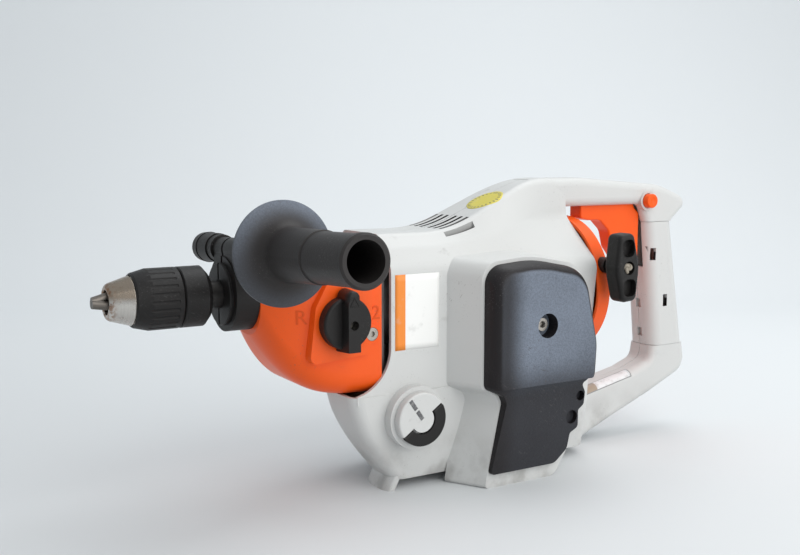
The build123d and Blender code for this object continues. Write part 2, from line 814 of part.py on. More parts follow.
def gear_housing():
    """Orange gear casting with a neck, a selector pad, screw bosses and shaft seats."""
    outer = loft([case_section(gear_case_front + gear_case_length * s) for s in case_stations])
    neck_start = neck_front + neck_cap_width
    outer += rod_x(neck_diameter, neck_start, gear_case_front + 4)
    pad = polygon(
        [(selector_x - 27, -selector_drop - 30), (selector_x + 25, -selector_drop - 26),
         (selector_x + 25, -selector_drop + 30), (selector_x - 12, -selector_drop + 30),
         (selector_x - 22, -selector_drop + 12)], [6, 6, 6, 6, 6])
    outer += slab_y(pad, gear_case_half_width - 10, 10 + selector_pad_height, taper=4)
    for side in (-1, 1):
        for x, z in case_screw_places:
            outer += side_rod(case_boss_diameter, side, gear_case_half_width - 8, boss_face, x, z)
    cavity = loft([case_section(x, gear_case_wall)
                   for x in (gear_cavity_front, gear_cavity_front + 18, selector_x, gear_case_rear + 1)])
    case = outer - cavity
    case -= rod_x(neck_bore_diameter, neck_start - 1, front_bearing_rear)
    case -= rod_x(spindle_collar_diameter + 2 * loose_clearance, front_bearing_rear - 1, gear_cavity_front + 1)
    case -= rod_x(counter_journal_diameter + 2 * running_clearance,
                  gear_cavity_front - counter_journal_length - 0.3, gear_cavity_front + 1, z=counter_axis_z)
    case -= rod_x(idler_pin_diameter, gear_cavity_front - counter_journal_length, gear_cavity_front + 1,
                  idler_y, idler_z)
    pinion_diameter = gear_module * (reverse_pinion_teeth + 2 * tooth_height_factor)
    case -= rod_x(pinion_diameter + pinion_clearance, idler_front - pinion_clearance, idler_rear, z=counter_axis_z)
    case -= rod_y(selector_shaft_diameter + 2 * running_clearance, -gear_case_half_width - 10, 0,
                  selector_x, -selector_drop)
    for side in (-1, 1):
        for x, z in case_screw_places:
            case -= side_rod(case_screw_diameter / 2, side, screw_end, boss_face + 7, x, z)
            case -= side_rod(case_screw_diameter + 0.6, side, screw_seat, boss_face + 7, x, z)
    return case


def case_screws():
    """Four star-socket screws of the gear housing."""
    screws = []
    for side in (-1, 1):
        for x, z in case_screw_places:
            screw = side_rod(case_screw_diameter / 2, side, screw_end, screw_seat, x, z)
            screw += side_rod(case_screw_diameter, side, screw_seat, boss_face, x, z)
            screw -= side_rod(case_screw_diameter * 0.45, side, screw_seat + 0.8, boss_face + 1, x, z)
            screws.append(screw)
    return Compound(children=screws)


def bearing_plate():
    """Plate across the gear housing that holds the spindle's rear bearing and the layshaft."""
    share = (bearing_plate_front - gear_case_front) / gear_case_length
    half_width, bottom, top, radius = case_size(share, gear_case_wall + plate_fit)
    plate = extrude(section_x(bearing_plate_front, half_width, bottom, top, radius), amount=bearing_plate_width)
    plate -= rod_x(rear_bearing_diameter, bearing_plate_front - 1, bearing_plate_rear + 1)
    return plate - rod_x(counter_shaft_diameter + 2 * running_clearance, bearing_plate_front - 1,
                         bearing_plate_rear + 1, z=counter_axis_z)


# Gear selector: knob, shaft with an eccentric pin and the fork that it moves
selector_z = -selector_drop
pad_face = gear_case_half_width + selector_pad_height
knob_base = pad_face + loose_clearance
fork_x = groove_front + groove_width / 2


def selector_knob():
    """Round knob with a raised pointer bar and a screw well."""
    top = knob_base + selector_height
    knob = rod_y(selector_diameter, -top, -knob_base, selector_x, selector_z)
    rim = [e for e in knob.edges() if abs(e.center().Y + top) < 0.01]
    knob = fillet(rim, 2.0)
    reach = selector_diameter / 2 + 1.5
    outline = polygon(
        [(selector_x - selector_bar_width / 2, selector_z - reach), (selector_x + selector_bar_width / 2,
         selector_z - reach), (selector_x + selector_bar_width / 2, selector_z + reach),
         (selector_x - selector_bar_width / 2, selector_z + reach)], [1.5, 1.5, 5.5, 5.5])
    knob += slab_y(outline, knob_base + 1, selector_height - 1 + selector_bar_height, taper=4)
    well_top = top + selector_bar_height
    knob -= rod_y(selector_screw_diameter + 0.6, -well_top - 1, -top + 1, selector_x, selector_z)
    return knob - rod_y(selector_shaft_diameter, -knob_base - selector_height / 2, -knob_base + 1,
                        selector_x, selector_z)


def selector_screw():
    """Screw at the bottom of the knob's well."""
    top = knob_base + selector_height
    return rod_y(selector_screw_diameter, -top - 1.2, -top + 1, selector_x, selector_z) - rod_y(
        selector_screw_diameter * 0.45, -top - 2, -top - 0.2, selector_x, selector_z)


def selector_shaft():
    """Shaft through the case wall with an inner disc and an eccentric pin."""
    shaft = rod_y(selector_shaft_diameter, -knob_base - selector_height / 2, -selector_disc_face - 3,
                  selector_x, selector_z)
    disc = rod_y(2 * (selector_pin_radius + selector_pin_diameter / 2 + 1), -selector_disc_face - 3,
                 -selector_disc_face, selector_x, selector_z)
    pin = rod_y(selector_pin_diameter, -selector_disc_face - 1, -selector_disc_face + selector_pin_length,
                selector_x, selector_z + selector_pin_radius)
    return shaft + disc + pin


def shift_fork():
    """Fork in the cluster's groove with a slotted block for the selector pin."""
    half = groove_width / 2 - 0.2
    inner = sliding_hub_diameter / 2 - groove_depth + 0.3
    outer = sliding_hub_diameter / 2 + 5
    ring = rod_x(2 * outer, fork_x - half, fork_x + half) - rod_x(2 * inner, fork_x - 5, fork_x + 5)
    fork = ring & block(fork_x - 5, fork_x + 5, -outer - 1, 0, -outer - 1, outer + 1)
    block_far = selector_disc_face - 1
    block_near = selector_disc_face - selector_pin_length - 0.5
    slot_half = selector_pin_diameter / 2 + fork_slot_clearance
    low = selector_z - 3
    high = selector_z + selector_pin_radius + selector_pin_diameter / 2 + 3
    fork += block(fork_x - half, fork_x + half, -block_far, -inner - 1, fork_web_low, high)
    fork += block(fork_x - slot_half - 2, fork_x + slot_half + 2, -block_far, -block_near, low, high)
    return fork - block(fork_x - slot_half, fork_x + slot_half, -block_far - 1, -block_near + 0.5, low + 2,
                        high - 1)


# Clutch, engine and their housings
def clutch_housing():
    """Grey casting behind the gears: a flange, the input bearing seat and a bell around the drum."""
    half_width, bottom, top, radius = case_size(1.0, clutch_case_inset)
    flange = extrude(section_x(gear_case_rear, half_width, bottom, top, radius), amount=clutch_case_width)
    bell_rear = drum_front + drum_length + 2
    bell = rod_x(drum_diameter + 2 * bell_clearance + 2 * wall, clutch_front - 1, bell_rear, z=crank_axis_z)
    bell -= rod_x(drum_diameter + 2 * bell_clearance, clutch_front + 4, bell_rear + 1, z=crank_axis_z)
    return flange + bell - rod_x(input_bearing_diameter, gear_case_rear - 1, clutch_front + 5, z=crank_axis_z)


def clutch_drum():
    """Cup on the input shaft that the clutch shoes grip from inside."""
    rear = drum_front + drum_length
    drum = rod_x(drum_diameter, drum_front, rear, z=crank_axis_z)
    drum -= rod_x(drum_diameter - 2 * drum_wall, drum_front + drum_wall, rear + 1, z=crank_axis_z)
    return drum - rod_x(input_shaft_diameter, drum_front - 1, drum_front + drum_wall + 1, z=crank_axis_z)


def clutch_carrier():
    """Hub on the crank end that drives the shoes."""
    hub = rod_x(clutch_hub_diameter, drum_front + drum_wall + 2, drum_front + drum_length, z=crank_axis_z)
    return hub - rod_x(crank_end_diameter, drum_front, drum_front + drum_length + 1, z=crank_axis_z)


def clutch_shoes():
    """Centrifugal shoes around the carrier, each an arc with a gap to the next."""
    outer = drum_diameter - 2 * drum_wall - 2 * clutch_gap
    ring = rod_x(outer, drum_front + drum_wall + 2, drum_front + drum_length, z=crank_axis_z)
    ring -= rod_x(clutch_hub_diameter, drum_front, drum_front + drum_length + 1, z=crank_axis_z)
    for index in range(shoe_count):
        slit = block(drum_front, drum_front + drum_length + 1, -1.5, 1.5, 0, drum_diameter)
        ring -= Pos(0, 0, crank_axis_z) * Rot(360.0 * index / shoe_count, 0, 0) * slit
    return Compound(children=list(ring.solids()))


def flywheel():
    """Cast flywheel with cooling-fan blades on its rear face and magnet pockets in its rim."""
    radius = flywheel_diameter / 2
    rear = flywheel_front + flywheel_width
    wheel = turned_x([
        (flywheel_front, 0), (flywheel_front, 16), (flywheel_front + 4, 18), (flywheel_front + 4, radius),
        (rear, radius), (rear, radius - 5), (rear - 7, radius - 7), (rear - 7, 18), (rear, 16), (rear, 0)],
        z=crank_axis_z)
    blade = block(rear - 8, rear + fan_blade_height, -1.0, 1.0, radius * 0.55, radius - 1)
    for index in range(fan_blade_count):
        angle = 360.0 * index / fan_blade_count
        wheel += Pos(0, 0, crank_axis_z) * Rot(angle, 0, 0) * blade
    return wheel - rod_x(crank_end_diameter, flywheel_front - 1, rear + 1, z=crank_axis_z)


def crankshaft():
    """Crankshaft with stepped ends for the clutch side and the starter side."""
    front = drum_front + drum_wall + 2
    crankcase_rear = crankcase_front + crankcase_length
    main = rod_x(crank_diameter, crankcase_front - 2, crankcase_rear + 2, z=crank_axis_z)
    return main + rod_x(crank_end_diameter, front, crankcase_rear + 14, z=crank_axis_z)


def crankcase():
    """Closed engine block with rounded flanks, bearing bosses and base lugs."""
    rear = crankcase_front + crankcase_length
    bottom = crank_axis_z - crankcase_depth
    section = section_x(crankcase_front, crankcase_half_width, bottom, cylinder_base, 10)
    case = extrude(section, amount=crankcase_length)
    case += rod_x(bearing_boss_diameter, crankcase_front - 1.5, rear + 1.5, z=crank_axis_z)
    return case - rod_x(crank_diameter + 2 * running_clearance, crankcase_front - 3, rear + 3, z=crank_axis_z)


def cylinder():
    """Upright cylinder with cooling fins that get smaller towards the head."""
    top = cylinder_base + fin_pitch * fin_count
    body = rod_z(cylinder_bore_diameter + 10, cylinder_base, top, cylinder_x)
    for index in range(fin_count):
        size = fin_size - fin_taper * index
        level = cylinder_base + fin_pitch * (index + 1) - fin_thickness
        fin = Pos(cylinder_x, 0, level + fin_thickness / 2) * extrude(
            RectangleRounded(size, size, 8), amount=fin_thickness / 2, both=True)
        body += fin
    return body - rod_z(plug_thread_diameter, top - 6, top + 1, cylinder_x)


def spark_plug():
    """Spark plug with its hexagon, seated in the head."""
    top = cylinder_base + fin_pitch * fin_count
    plug = rod_z(plug_thread_diameter, top - 6, top + 1, cylinder_x)
    hexagon = extrude(Plane.XY.offset(top) * Pos(cylinder_x, 0) * RegularPolygon(plug_hex_radius, 6), amount=5)
    return plug + hexagon + rod_z(plug_stem_diameter, top + 4, top + 14, cylinder_x)


def plug_boot():
    """Rubber boot over the plug with the lead's short elbow."""
    top = cylinder_base + fin_pitch * fin_count
    boot = rod_z(boot_diameter, top + 6, top + 20, cylinder_x)
    boot += rod_x(lead_diameter, cylinder_x, cylinder_x + boot_diameter, z=top + 15)
    return boot - rod_z(plug_stem_diameter, top + 5, top + 14, cylinder_x)


def ignition_module():
    """Coil block above the flywheel rim, on a bracket from the crankcase."""
    low = crank_axis_z + flywheel_diameter / 2 + 1.0
    coil = block(flywheel_front + 3, flywheel_front + 15, -13, 13, low, low + 5.5)
    coil += block(flywheel_front + 14, crankcase_front, -8, 8, low + 1, low + 4)
    return coil + block(crankcase_front - 3, crankcase_front, -8, 8, cylinder_base - 8, low + 4)


def carburettor():
    """Carburettor body with a round intake, a fuel bowl and its flange on the engine."""
    middle = (carb_front + carb_rear) / 2
    level = (carb_top + carb_bottom) / 2
    body = block(carb_front, carb_rear, -carb_outer, -crankcase_half_width - 3, carb_bottom, carb_top)
    body = fillet(body.edges().filter_by(Axis.Y), 5)
    body += block(carb_front - 5, carb_rear + 5, -crankcase_half_width - 3, -crankcase_half_width,
                  carb_bottom + 4, carb_top - 4)
    body += rod_y(carb_flange_diameter, -filter_inner, -carb_outer + 1, middle, level)
    return body - rod_y(carb_throat_diameter, -filter_inner - 1, -crankcase_half_width - 8, middle, level)


# White housing: body, base, filter box, muffler bulge and handle bars, shelled and split at the mid-plane
base_bottom = floor_z + foot_height
cover_face = box_face + cover_depth
cap_z = -cap_drop


def smooth_step(share):
    """Rise from 0 to 1 with level ends."""
    share = min(max(share, 0.0), 1.0)
    return share * share * (3 - 2 * share)


def body_section(x, inset):
    """Section of the upper body: a flat ridge, flanks drawn in towards the rear bar, shoulders and sides."""
    rise = smooth_step((x - hump_front) / (hump_rear - hump_front))
    draw = smooth_step((x - draw_front) / (body_rear - draw_front))
    top = body_front_top + (ridge_top - body_front_top) * rise - inset
    narrow = smooth_step((x - narrow_front) / (body_rear - narrow_front))
    ridge = front_ridge_half_width + (ridge_half_width - front_ridge_half_width) * narrow - inset * 0.6
    foot = body_half_width - inset
    side = foot + (rear_half_width - body_half_width) * draw
    shoulder = body_shoulder + (rear_shoulder - body_shoulder) * draw
    flank_y = (ridge + side) / 2 + flank_swell
    flank_z = (top + shoulder) / 2 + flank_swell
    flank_y += (flank_half_width - inset - flank_y) * draw
    flank_z += (flank_height - inset - flank_z) * draw
    half = [(ridge, top), (flank_y, flank_z), (side, shoulder), (foot, body_bottom)]
    points = half + [(-y, z) for y, z in reversed(half)]
    return Plane.YZ.offset(x) * polygon(points, [7, 12, 14, 3, 3, 14, 12, 7])


def body_form(inset):
    """Upper body from its open front to the starter side."""
    front = lip_front + 5 - 20 * inset
    rear = body_rear - inset
    places = [front, opening_x, opening_x + 22, louvre_front - 14, louvre_front + 6, louvre_front + 26,
              louvre_front + 50, louvre_front + 75, (louvre_front + 75 + hump_rear) / 2, hump_rear, rear]
    return loft([body_section(x, inset) for x in places])


def base_form(inset):
    """Base that holds the tank: undercut towards the front foot, its nose set back on the right."""
    sections = []
    for step in range(5):
        share = step / 4
        level = -lip_drop + (base_bottom + lip_drop) * share
        level += inset if step == 4 else 0.0
        front = lip_front + (base_bottom_front - lip_front) * share ** 1.6 + inset
        half_width = base_half_width - base_tuck * share ** 2 - inset
        rear = base_rear - inset
        outline = polygon(
            [(front, -half_width), (front, -nose_bend_y), (front + nose_setback, half_width),
             (rear, half_width), (rear, -half_width)],
            [nose_corner_radius - inset, nose_bend_radius - inset, nose_side_radius - inset,
             base_corner_radius - inset, base_corner_radius - inset])
        sections.append(Plane.XY.offset(level) * outline)
    return loft(sections)


def cover_outline(margin, front_flare=0.0, top_flare=0.0, skirt=0.0):
    """Outline of the filter cover, moved outwards by a margin and by extra flares for the box behind it."""
    front = cover_front - margin - front_flare
    rear = cover_rear + margin
    top = cover_top + margin + top_flare
    bottom = -cover_bottom - margin - skirt
    step = -cover_step
    points = [
        (front, top - 3), (cover_front + 43, top + 0.5), (rear - 13, top - 9), (rear, step + 24),
        (rear - 1.5, step - 3), (rear - 12, step - 9), (rear - 8.5, step - 16), (rear - 9.5, step - 26),
        (rear - 15, step - 30), (rear - 14.5, step - 44), (rear - 22.5, step - 48),
        (rear - 25, bottom + 10 + skirt), (rear - 37, bottom), (front + 4.5, bottom),
        (front + 16.5, step - 16), (front + 13.5, step - 10), (front, step - 3.5)]
    return polygon(points, [15, 100, 24, 40, 7, 2.5, 4, 3, 3, 4, 4, 9, 9, 3, 6, 4, 6])


def filter_box(inset):
    """Box that flares out of the body's left side and ends in the cover's seat."""
    skirt = 0.0 if inset else box_skirt
    margin = -box_rim if inset else box_margin
    root = cover_outline(margin, box_flare, box_top_flare, skirt)
    face = cover_outline(margin, skirt=skirt)
    near = box_root - 4 * inset
    far = box_face + 1 if inset else box_face
    return loft([Plane.XZ.offset(near) * root, Plane.XZ.offset(far) * face], ruled=True)


def muffler_form(inset):
    """Shallow bulge on the right side over the muffler."""
    middle_x = (muffler_front + muffler_rear) / 2
    middle_z = (muffler_top - muffler_bottom) / 2
    length = muffler_rear - muffler_front - 2 * inset
    height = muffler_top + muffler_bottom - 2 * inset
    root = Plane.XZ.offset(-box_root + 4 * inset) * Pos(middle_x, middle_z) * RectangleRounded(
        length + 16, height + 16, 14)
    face = Plane.XZ.offset(-muffler_face - (1 if inset else 0)) * Pos(middle_x, middle_z) * RectangleRounded(
        length, height, 10)
    return loft([root, face], ruled=True)


def top_bar_outline():
    """Side outline of the upper handle bar with its rear spur, carried below the grip seam."""
    return polygon([
        (bar_root, bar_underside), (bar_root, ridge_top - 1), (bar_crown, ridge_top), (bar_fall, bar_fall_top),
        (handle_rear - 10, bar_fall_top - 9.5), (handle_rear, spur_height), (grip_rear_top, grip_top),
        (grip_rear_top - 2, grip_top - 12), (grip_front_top + 4.5, grip_top - 12),
        (grip_front_top - 6, bar_underside)],
        [0, 0, 60, 60, 14, 7.5, 4, 0, 0, 7])


def lower_bar_outline():
    """Side outline of the lower handle bar from the grip seam to the rear foot."""
    return polygon([
        (grip_front_bottom, grip_bottom), (grip_front_bottom - 2, loop_floor + 8), (loop_floor_x, loop_floor),
        (lower_bar_root, loop_floor - 18), (lower_bar_root, floor_z + 9), (rear_foot_x - 6, floor_z),
        (rear_foot_x + 2, floor_z), (rear_foot_x + 46, floor_z + 18), (rear_foot_x + 94, floor_z + 36),
        (handle_corner - 4, floor_z + 53), (handle_corner, floor_z + 64), (grip_rear_bottom, grip_bottom),
        (grip_rear_bottom - 2, grip_bottom + 12), (grip_front_bottom - 1, grip_bottom + 12)],
        [0, 9, 12, 0, 0, 2, 6, 40, 40, 14, 8, 0, 0, 0])


def bar_form(outline, half_width, radius):
    """Bar extruded to both sides of the mid-plane with rounded long edges."""
    bar = extrude(Plane.XZ * outline, amount=half_width, both=True)
    edges = [e for f in bar.faces().filter_by(Axis.Y) for e in f.edges()]
    return fillet(edges, radius) if radius else bar


def handle_bars(inset):
    """Both handle bars, cut off flat at the grip seams."""
    half_width = bar_half_width - inset
    radius = 0 if inset else bar_round
    upper = top_bar_outline()
    lower = lower_bar_outline()
    if inset:
        upper = offset(upper, -inset)
        lower = offset(lower, -inset)
    margin = inset + grip_seam / 2
    limits = (grip_front_top - 60, handle_corner + 30, -60, 60)
    upper = bar_form(upper, half_width, radius) - block(*limits, grip_bottom, grip_top + margin)
    lower = bar_form(lower, half_width, radius) - block(*limits, grip_bottom - margin, grip_top)
    return upper + lower


def gearbox_opening():
    """Open front over the gear housing, with a rounded lower corner."""
    outline = polygon([
        (0, -lip_drop), (opening_x, -lip_drop), (opening_x, 2 * ridge_top), (0, 2 * ridge_top)],
        [0, opening_corner_radius, 0, 0])
    return extrude(Plane.XZ * outline, amount=3 * body_half_width, both=True)


def louvres():
    """Slits that run up the sloping top on both sides of the parting line."""
    slits = []
    for index in range(louvre_per_side):
        for side in (-1, 1):
            y = side * (louvre_inner + louvre_pitch * index)
            slits.append(block(louvre_front, louvre_front + louvre_length, y - louvre_width / 2,
                               y + louvre_width / 2, body_shoulder, ridge_top))
    return slits


def front_foot():
    """Foot under the nose, its front edge rounded in plan and leaning back into the base."""
    middle = (front_foot_reach - front_foot_inner) / 2 + front_foot_inner
    width = front_foot_reach - front_foot_inner
    sections = []
    for level, shift in ((floor_z, 0.0), (base_bottom + front_foot_lean, front_foot_lean)):
        front = front_foot_x + shift
        outline = polygon(
            [(front, -middle - width * 0.3), (front, -middle + width * 0.2), (front + 4, -front_foot_inner),
             (front + front_foot_length, -front_foot_inner), (front + front_foot_length, -front_foot_reach),
             (front + 3, -front_foot_reach)], [4, 20, 2, 0, 2, 3])
        sections.append(Plane.XY.offset(level) * outline)
    return loft(sections, ruled=True)


def nose_step():
    """Room in front of the set-back right side of the nose."""
    front = lip_front - nose_setback
    bend = lip_front + nose_step_depth
    rear = bend + nose_setback
    outline = polygon(
        [(front, -nose_bend_y), (bend, -nose_bend_y), (rear, base_half_width), (rear, 2 * base_half_width),
         (front, 2 * base_half_width)], [0, 0, 0, 0, 0])
    return extrude(Plane.XY.offset(2 * body_bottom) * outline, amount=-2 * body_bottom)


def housing_shell():
    """Whole white shell before it is split into halves."""
    shell = body_form(0) - nose_step() + base_form(0) + filter_box(0) + muffler_form(0)
    shell -= gearbox_opening()
    shell += handle_bars(0)
    shell += rod_y(cap_boss_diameter, -base_half_width - cap_boss_height, -base_half_width + 12, cap_x, cap_z)
    shell += front_foot()
    shell += block(right_foot_x, right_foot_x + right_foot_length, front_foot_inner + 14, front_foot_reach,
                   floor_z, base_bottom + 6)
    hollow = body_form(wall) - block(0, opening_x, -2 * body_half_width, 2 * body_half_width,
                                     2 * body_bottom, -lip_drop)
    hollow += base_form(wall) + filter_box(wall) + muffler_form(wall)
    shell -= hollow
    shell -= handle_bars(handle_wall) - block(0, body_rear + 1, -60, 60, -200, 200)
    for slit in louvres():
        shell -= slit
    shell -= block(lip_front, base_bottom_front + wall, -nose_slot_width / 2, nose_slot_width / 2,
                   nose_slot_bottom, nose_slot_top)
    shell -= rod_y(filler_diameter + 2 * filler_wall + 1, -base_half_width - 20, 0, cap_x, cap_z)
    shell -= rod_x(starter_hub_opening, body_rear - wall - 1, body_rear + 1, z=crank_axis_z)
    slot_half = trigger_width / 2 + trigger_side_clearance
    shell -= block(trigger_front - 4, grip_front_top + trigger_slot_reach, -slot_half, slot_half,
                   grip_top - 1, trigger_pocket_top)
    pin_half = bar_half_width - handle_wall + trigger_pin_seat
    shell -= rod_y(trigger_pin_diameter, -pin_half, pin_half, trigger_pivot_x, trigger_pivot_z)
    button_floor = bar_half_width + button_proud - button_head_length - button_travel - loose_clearance
    boss_end = -button_floor + button_floor_wall
    shell += rod_y(button_boss_diameter, -bar_half_width - 1, boss_end, button_x, button_z)
    wells = ((button_diameter, -button_floor + 5), (button_head_diameter, -button_floor))
    for diameter, end in wells:
        shell -= rod_y(diameter + 2 * loose_clearance, -bar_half_width - 5, end, button_x, button_z)
    for x, z in housing_screw_places:
        shell += rod_y(housing_screw_diameter + 6, housing_screw_seat - 8, body_half_width - 1, x, z)
        shell -= rod_y(housing_screw_diameter + 1, housing_screw_seat, body_half_width + 20, x, z)
        shell -= rod_y(housing_screw_diameter / 2, housing_screw_seat - 6, housing_screw_seat + 1, x, z)
    return shell


def housing_half(shell, side):
    """Left (-1) or right (+1) half of the shell, half a parting gap away from the mid-plane."""
    near = side * parting_gap / 2
    far = side * 200
    return shell & block(0, 700, min(near, far), max(near, far), -300, 300)


def grip_half(side):
    """Soft grip half between the seams, hollow, with two clip slots and a slot for the trigger."""
    lean_front = (grip_front_bottom - grip_front_top) / (grip_top - grip_bottom)
    lean_rear = (grip_rear_bottom - grip_rear_top) / (grip_top - grip_bottom)
    over = 12
    outline = polygon([
        (grip_front_top - over * lean_front, grip_top + over),
        (grip_rear_top - over * lean_rear, grip_top + over),
        (grip_rear_bottom + over * lean_rear, grip_bottom - over),
        (grip_front_bottom + over * lean_front, grip_bottom - over)], [0, 0, 0, 0])
    grip = bar_form(outline, grip_half_width, grip_round)
    core = Plane.XZ * offset(outline, -handle_wall - 2)
    grip -= extrude(core, amount=grip_half_width - handle_wall, both=True)
    limits = (grip_front_top - 60, handle_corner + 30, -60, 60)
    grip -= block(*limits, grip_top - grip_seam / 2, grip_top + 60)
    grip -= block(*limits, grip_bottom - 60, grip_bottom + grip_seam / 2)
    slot_half = trigger_width / 2 + trigger_side_clearance
    grip -= block(grip_front_top - 20, grip_front_top + trigger_slot_reach, -slot_half, slot_half,
                  trigger_tip - 4, grip_top + 1)
    for x, level in grip_slot_places:
        for y in (-grip_half_width, grip_half_width):
            grip -= block(x - grip_slot_width / 2, x + grip_slot_width / 2, y - handle_wall - 1,
                          y + handle_wall + 1, level - grip_slot_height / 2, level + grip_slot_height / 2)
    for level in grip_notch_levels:
        front = grip_front_top + lean_front * (grip_top - level)
        grip -= block(front - 2, front + grip_notch_depth, -grip_notch_width / 2, grip_notch_width / 2,
                      level - grip_notch_height / 2, level + grip_notch_height / 2)
    return housing_half(grip, side)


def housing_screws():
    """Screws that join the halves from the right side."""
    screws = []
    for x, z in housing_screw_places:
        screw = rod_y(housing_screw_diameter, housing_screw_seat, housing_screw_seat + 3, x, z)
        screw += rod_y(housing_screw_diameter / 2, housing_screw_seat - 6, housing_screw_seat + 1, x, z)
        screw -= rod_y(housing_screw_diameter * 0.45, housing_screw_seat + 1.2, housing_screw_seat + 4, x, z)
        screws.append(screw)
    return Compound(children=screws)


# Throttle
def throttle_trigger():
    """L-shaped trigger: a top arm hinged in the bar, a hollow front and a leg along the grip."""
    outline = polygon([
        (trigger_front, trigger_pivot_z + 4), (trigger_front, trigger_nose),
        (trigger_front + 9, trigger_nose - 2), (trigger_front + 22, trigger_nose - 2),
        (trigger_front + 33, trigger_nose - 12),
        (trigger_front + 37, trigger_nose - 27), (trigger_front + 46, trigger_tip + 5),
        (trigger_rear - 11, trigger_tip), (trigger_rear, trigger_tip + 3), (trigger_rear, grip_top + 8),
        (trigger_rear - 5, grip_top + 12),
        (trigger_rear - 9, bar_underside + 3), (trigger_rear - 30, trigger_pivot_z + 2)],
        [4, 3, 3, 9, 9, 9, 6, 4, 3, 2, 2, 2, 6])
    trigger = extrude(Plane.XZ * outline, amount=trigger_width / 2, both=True)
    outer = [e for f in trigger.faces().filter_by(Axis.Y) for e in f.edges()]
    trigger = fillet(outer, 1.5)
    bore = trigger_pin_diameter + 2 * running_clearance
    return trigger - rod_y(bore, -trigger_width, trigger_width, trigger_pivot_x, trigger_pivot_z)


def trigger_pin():
    """Hinge pin of the trigger, held in both bar walls."""
    half = bar_half_width - handle_wall
    return rod_y(trigger_pin_diameter, -half - trigger_pin_seat, half + trigger_pin_seat, trigger_pivot_x,
                 trigger_pivot_z)


def lock_button():
    """Push button through the left wall of the upper bar, dimpled on its face."""
    face = bar_half_width + button_proud
    button = rod_y(button_head_diameter, -face, -face + button_head_length, button_x, button_z)
    rim = [e for e in button.edges() if abs(e.center().Y + face) < 0.01]
    button = fillet(rim, 1.2)
    button += rod_y(button_diameter, -face + button_head_length - 1, -button_end, button_x, button_z)
    return button - Pos(button_x, -face - button_dimple_radius + 1, button_z) * Sphere(button_dimple_radius)


# Filter cover, filter and muffler
def cover_relief(shift):
    """Wedge that makes the cover's lower part lower and sloping, moved inwards by shift."""
    face = box_face + cover_lower_depth - shift
    outline = make_face(Polyline(
        (-face, -cover_step - 3 + shift), (-face + 3.5, -cover_bottom - 5), (-face - 40, -cover_bottom - 5),
        (-face - 40, -cover_step - 3 + shift), close=True))
    return extrude(Plane.YZ.offset(cover_front - 30) * outline, amount=cover_rear - cover_front + 60)


def filter_cover():
    """Grey cover: a domed upper face, a sloping lower face, a screw recess and two rear finger notches."""
    sections = []
    for share in (0, 0.5, 0.8, 0.95, 1):
        margin = -cover_bevel * (1 - sqrt(1 - share ** 2))
        sections.append(Plane.XZ.offset(box_face + cover_depth * share) * cover_outline(margin))
    form = loft(sections) - cover_relief(0)
    open_end = Plane.XZ.offset(box_face - 1) * cover_outline(-cover_wall)
    ceiling = Plane.XZ.offset(cover_face - cover_wall) * cover_outline(-cover_bevel - cover_wall)
    inner = loft([open_end, ceiling], ruled=True)
    cover = form - (inner - cover_relief(cover_wall))
    recess_floor = cover_face - cover_recess_depth
    cover += rod_y(cover_recess_diameter + 2 * cover_wall, -cover_face + 0.5, -recess_floor + cover_wall,
                   cover_screw_x, -cover_screw_drop)
    cover -= rod_y(cover_recess_diameter, -cover_face - 1, -recess_floor, cover_screw_x, -cover_screw_drop)
    for inset, drop, diameter in cover_pockets:
        x = cover_rear - inset
        z = -cover_step - drop
        cover += form & rod_y(diameter + 2 * cover_pocket_wall, -cover_face, -box_face, x, z)
        cover -= rod_y(diameter, -cover_face, -box_face - cover_pocket_floor, x, z)
    return cover - rod_y(cover_screw_diameter / 2, -cover_face - 1, 0, cover_screw_x, -cover_screw_drop)


def cover_screw():
    """Star-socket screw that holds the filter cover to the carburettor."""
    seat = cover_face - cover_recess_depth
    screw = rod_y(cover_screw_diameter, -seat - 4, -seat, cover_screw_x, -cover_screw_drop)
    screw -= rod_y(cover_screw_diameter * 0.55, -seat - 5, -seat - 1.5, cover_screw_x, -cover_screw_drop)
    return screw + rod_y(cover_screw_diameter / 2, -seat, -filter_inner, cover_screw_x, -cover_screw_drop)


def air_filter():
    """Flat filter element with a frame and pleats, cleared around the cover screw."""
    outer = filter_inner + filter_depth
    element = block(filter_front, filter_rear, -outer, -filter_inner, filter_bottom, filter_top)
    element = fillet(element.edges().filter_by(Axis.Y), 6)
    pleat_count = 9
    step = (filter_rear - filter_front - 8) / pleat_count
    for index in range(pleat_count):
        x = filter_front + 4 + step * index
        element -= block(x + step * 0.3, x + step * 0.7, -outer - 1, -outer + 3, filter_bottom + 5,
                         filter_top - 5)
    return element - rod_y(cover_recess_diameter + 2 * cover_wall + 2, -outer - 1, 0, cover_screw_x,
                           -cover_screw_drop)


def muffler():
    """Pressed-steel silencer box against the cylinder side."""
    body = block(muffler_front + muffler_inset, muffler_rear - muffler_inset, crankcase_half_width,
                 muffler_face - 6, -muffler_bottom + muffler_inset, muffler_top - muffler_inset - 2)
    return fillet(body.edges().filter_by(Axis.Y), 8)


def muffler_guard():
    """Slotted plate in the face of the right-side bulge."""
    middle_x = (muffler_front + muffler_rear) / 2
    middle_z = (muffler_top - muffler_bottom) / 2
    length = muffler_rear - muffler_front - 2 * wall - 0.6
    height = muffler_top + muffler_bottom - 2 * wall - 0.6
    outline = Pos(middle_x, middle_z) * RectangleRounded(length, height, 10)
    plate = extrude(Plane.XZ.offset(-muffler_face) * outline, amount=2.5)
    pitch = height / (muffler_slot_count + 1)
    for index in range(muffler_slot_count):
        z = middle_z - height / 2 + pitch * (index + 1)
        slot = Pos(middle_x, z) * SlotOverall(length - 14, muffler_slot_width)
        plate -= extrude(Plane.XZ.offset(-muffler_face - 1) * slot, amount=5)
    return plate


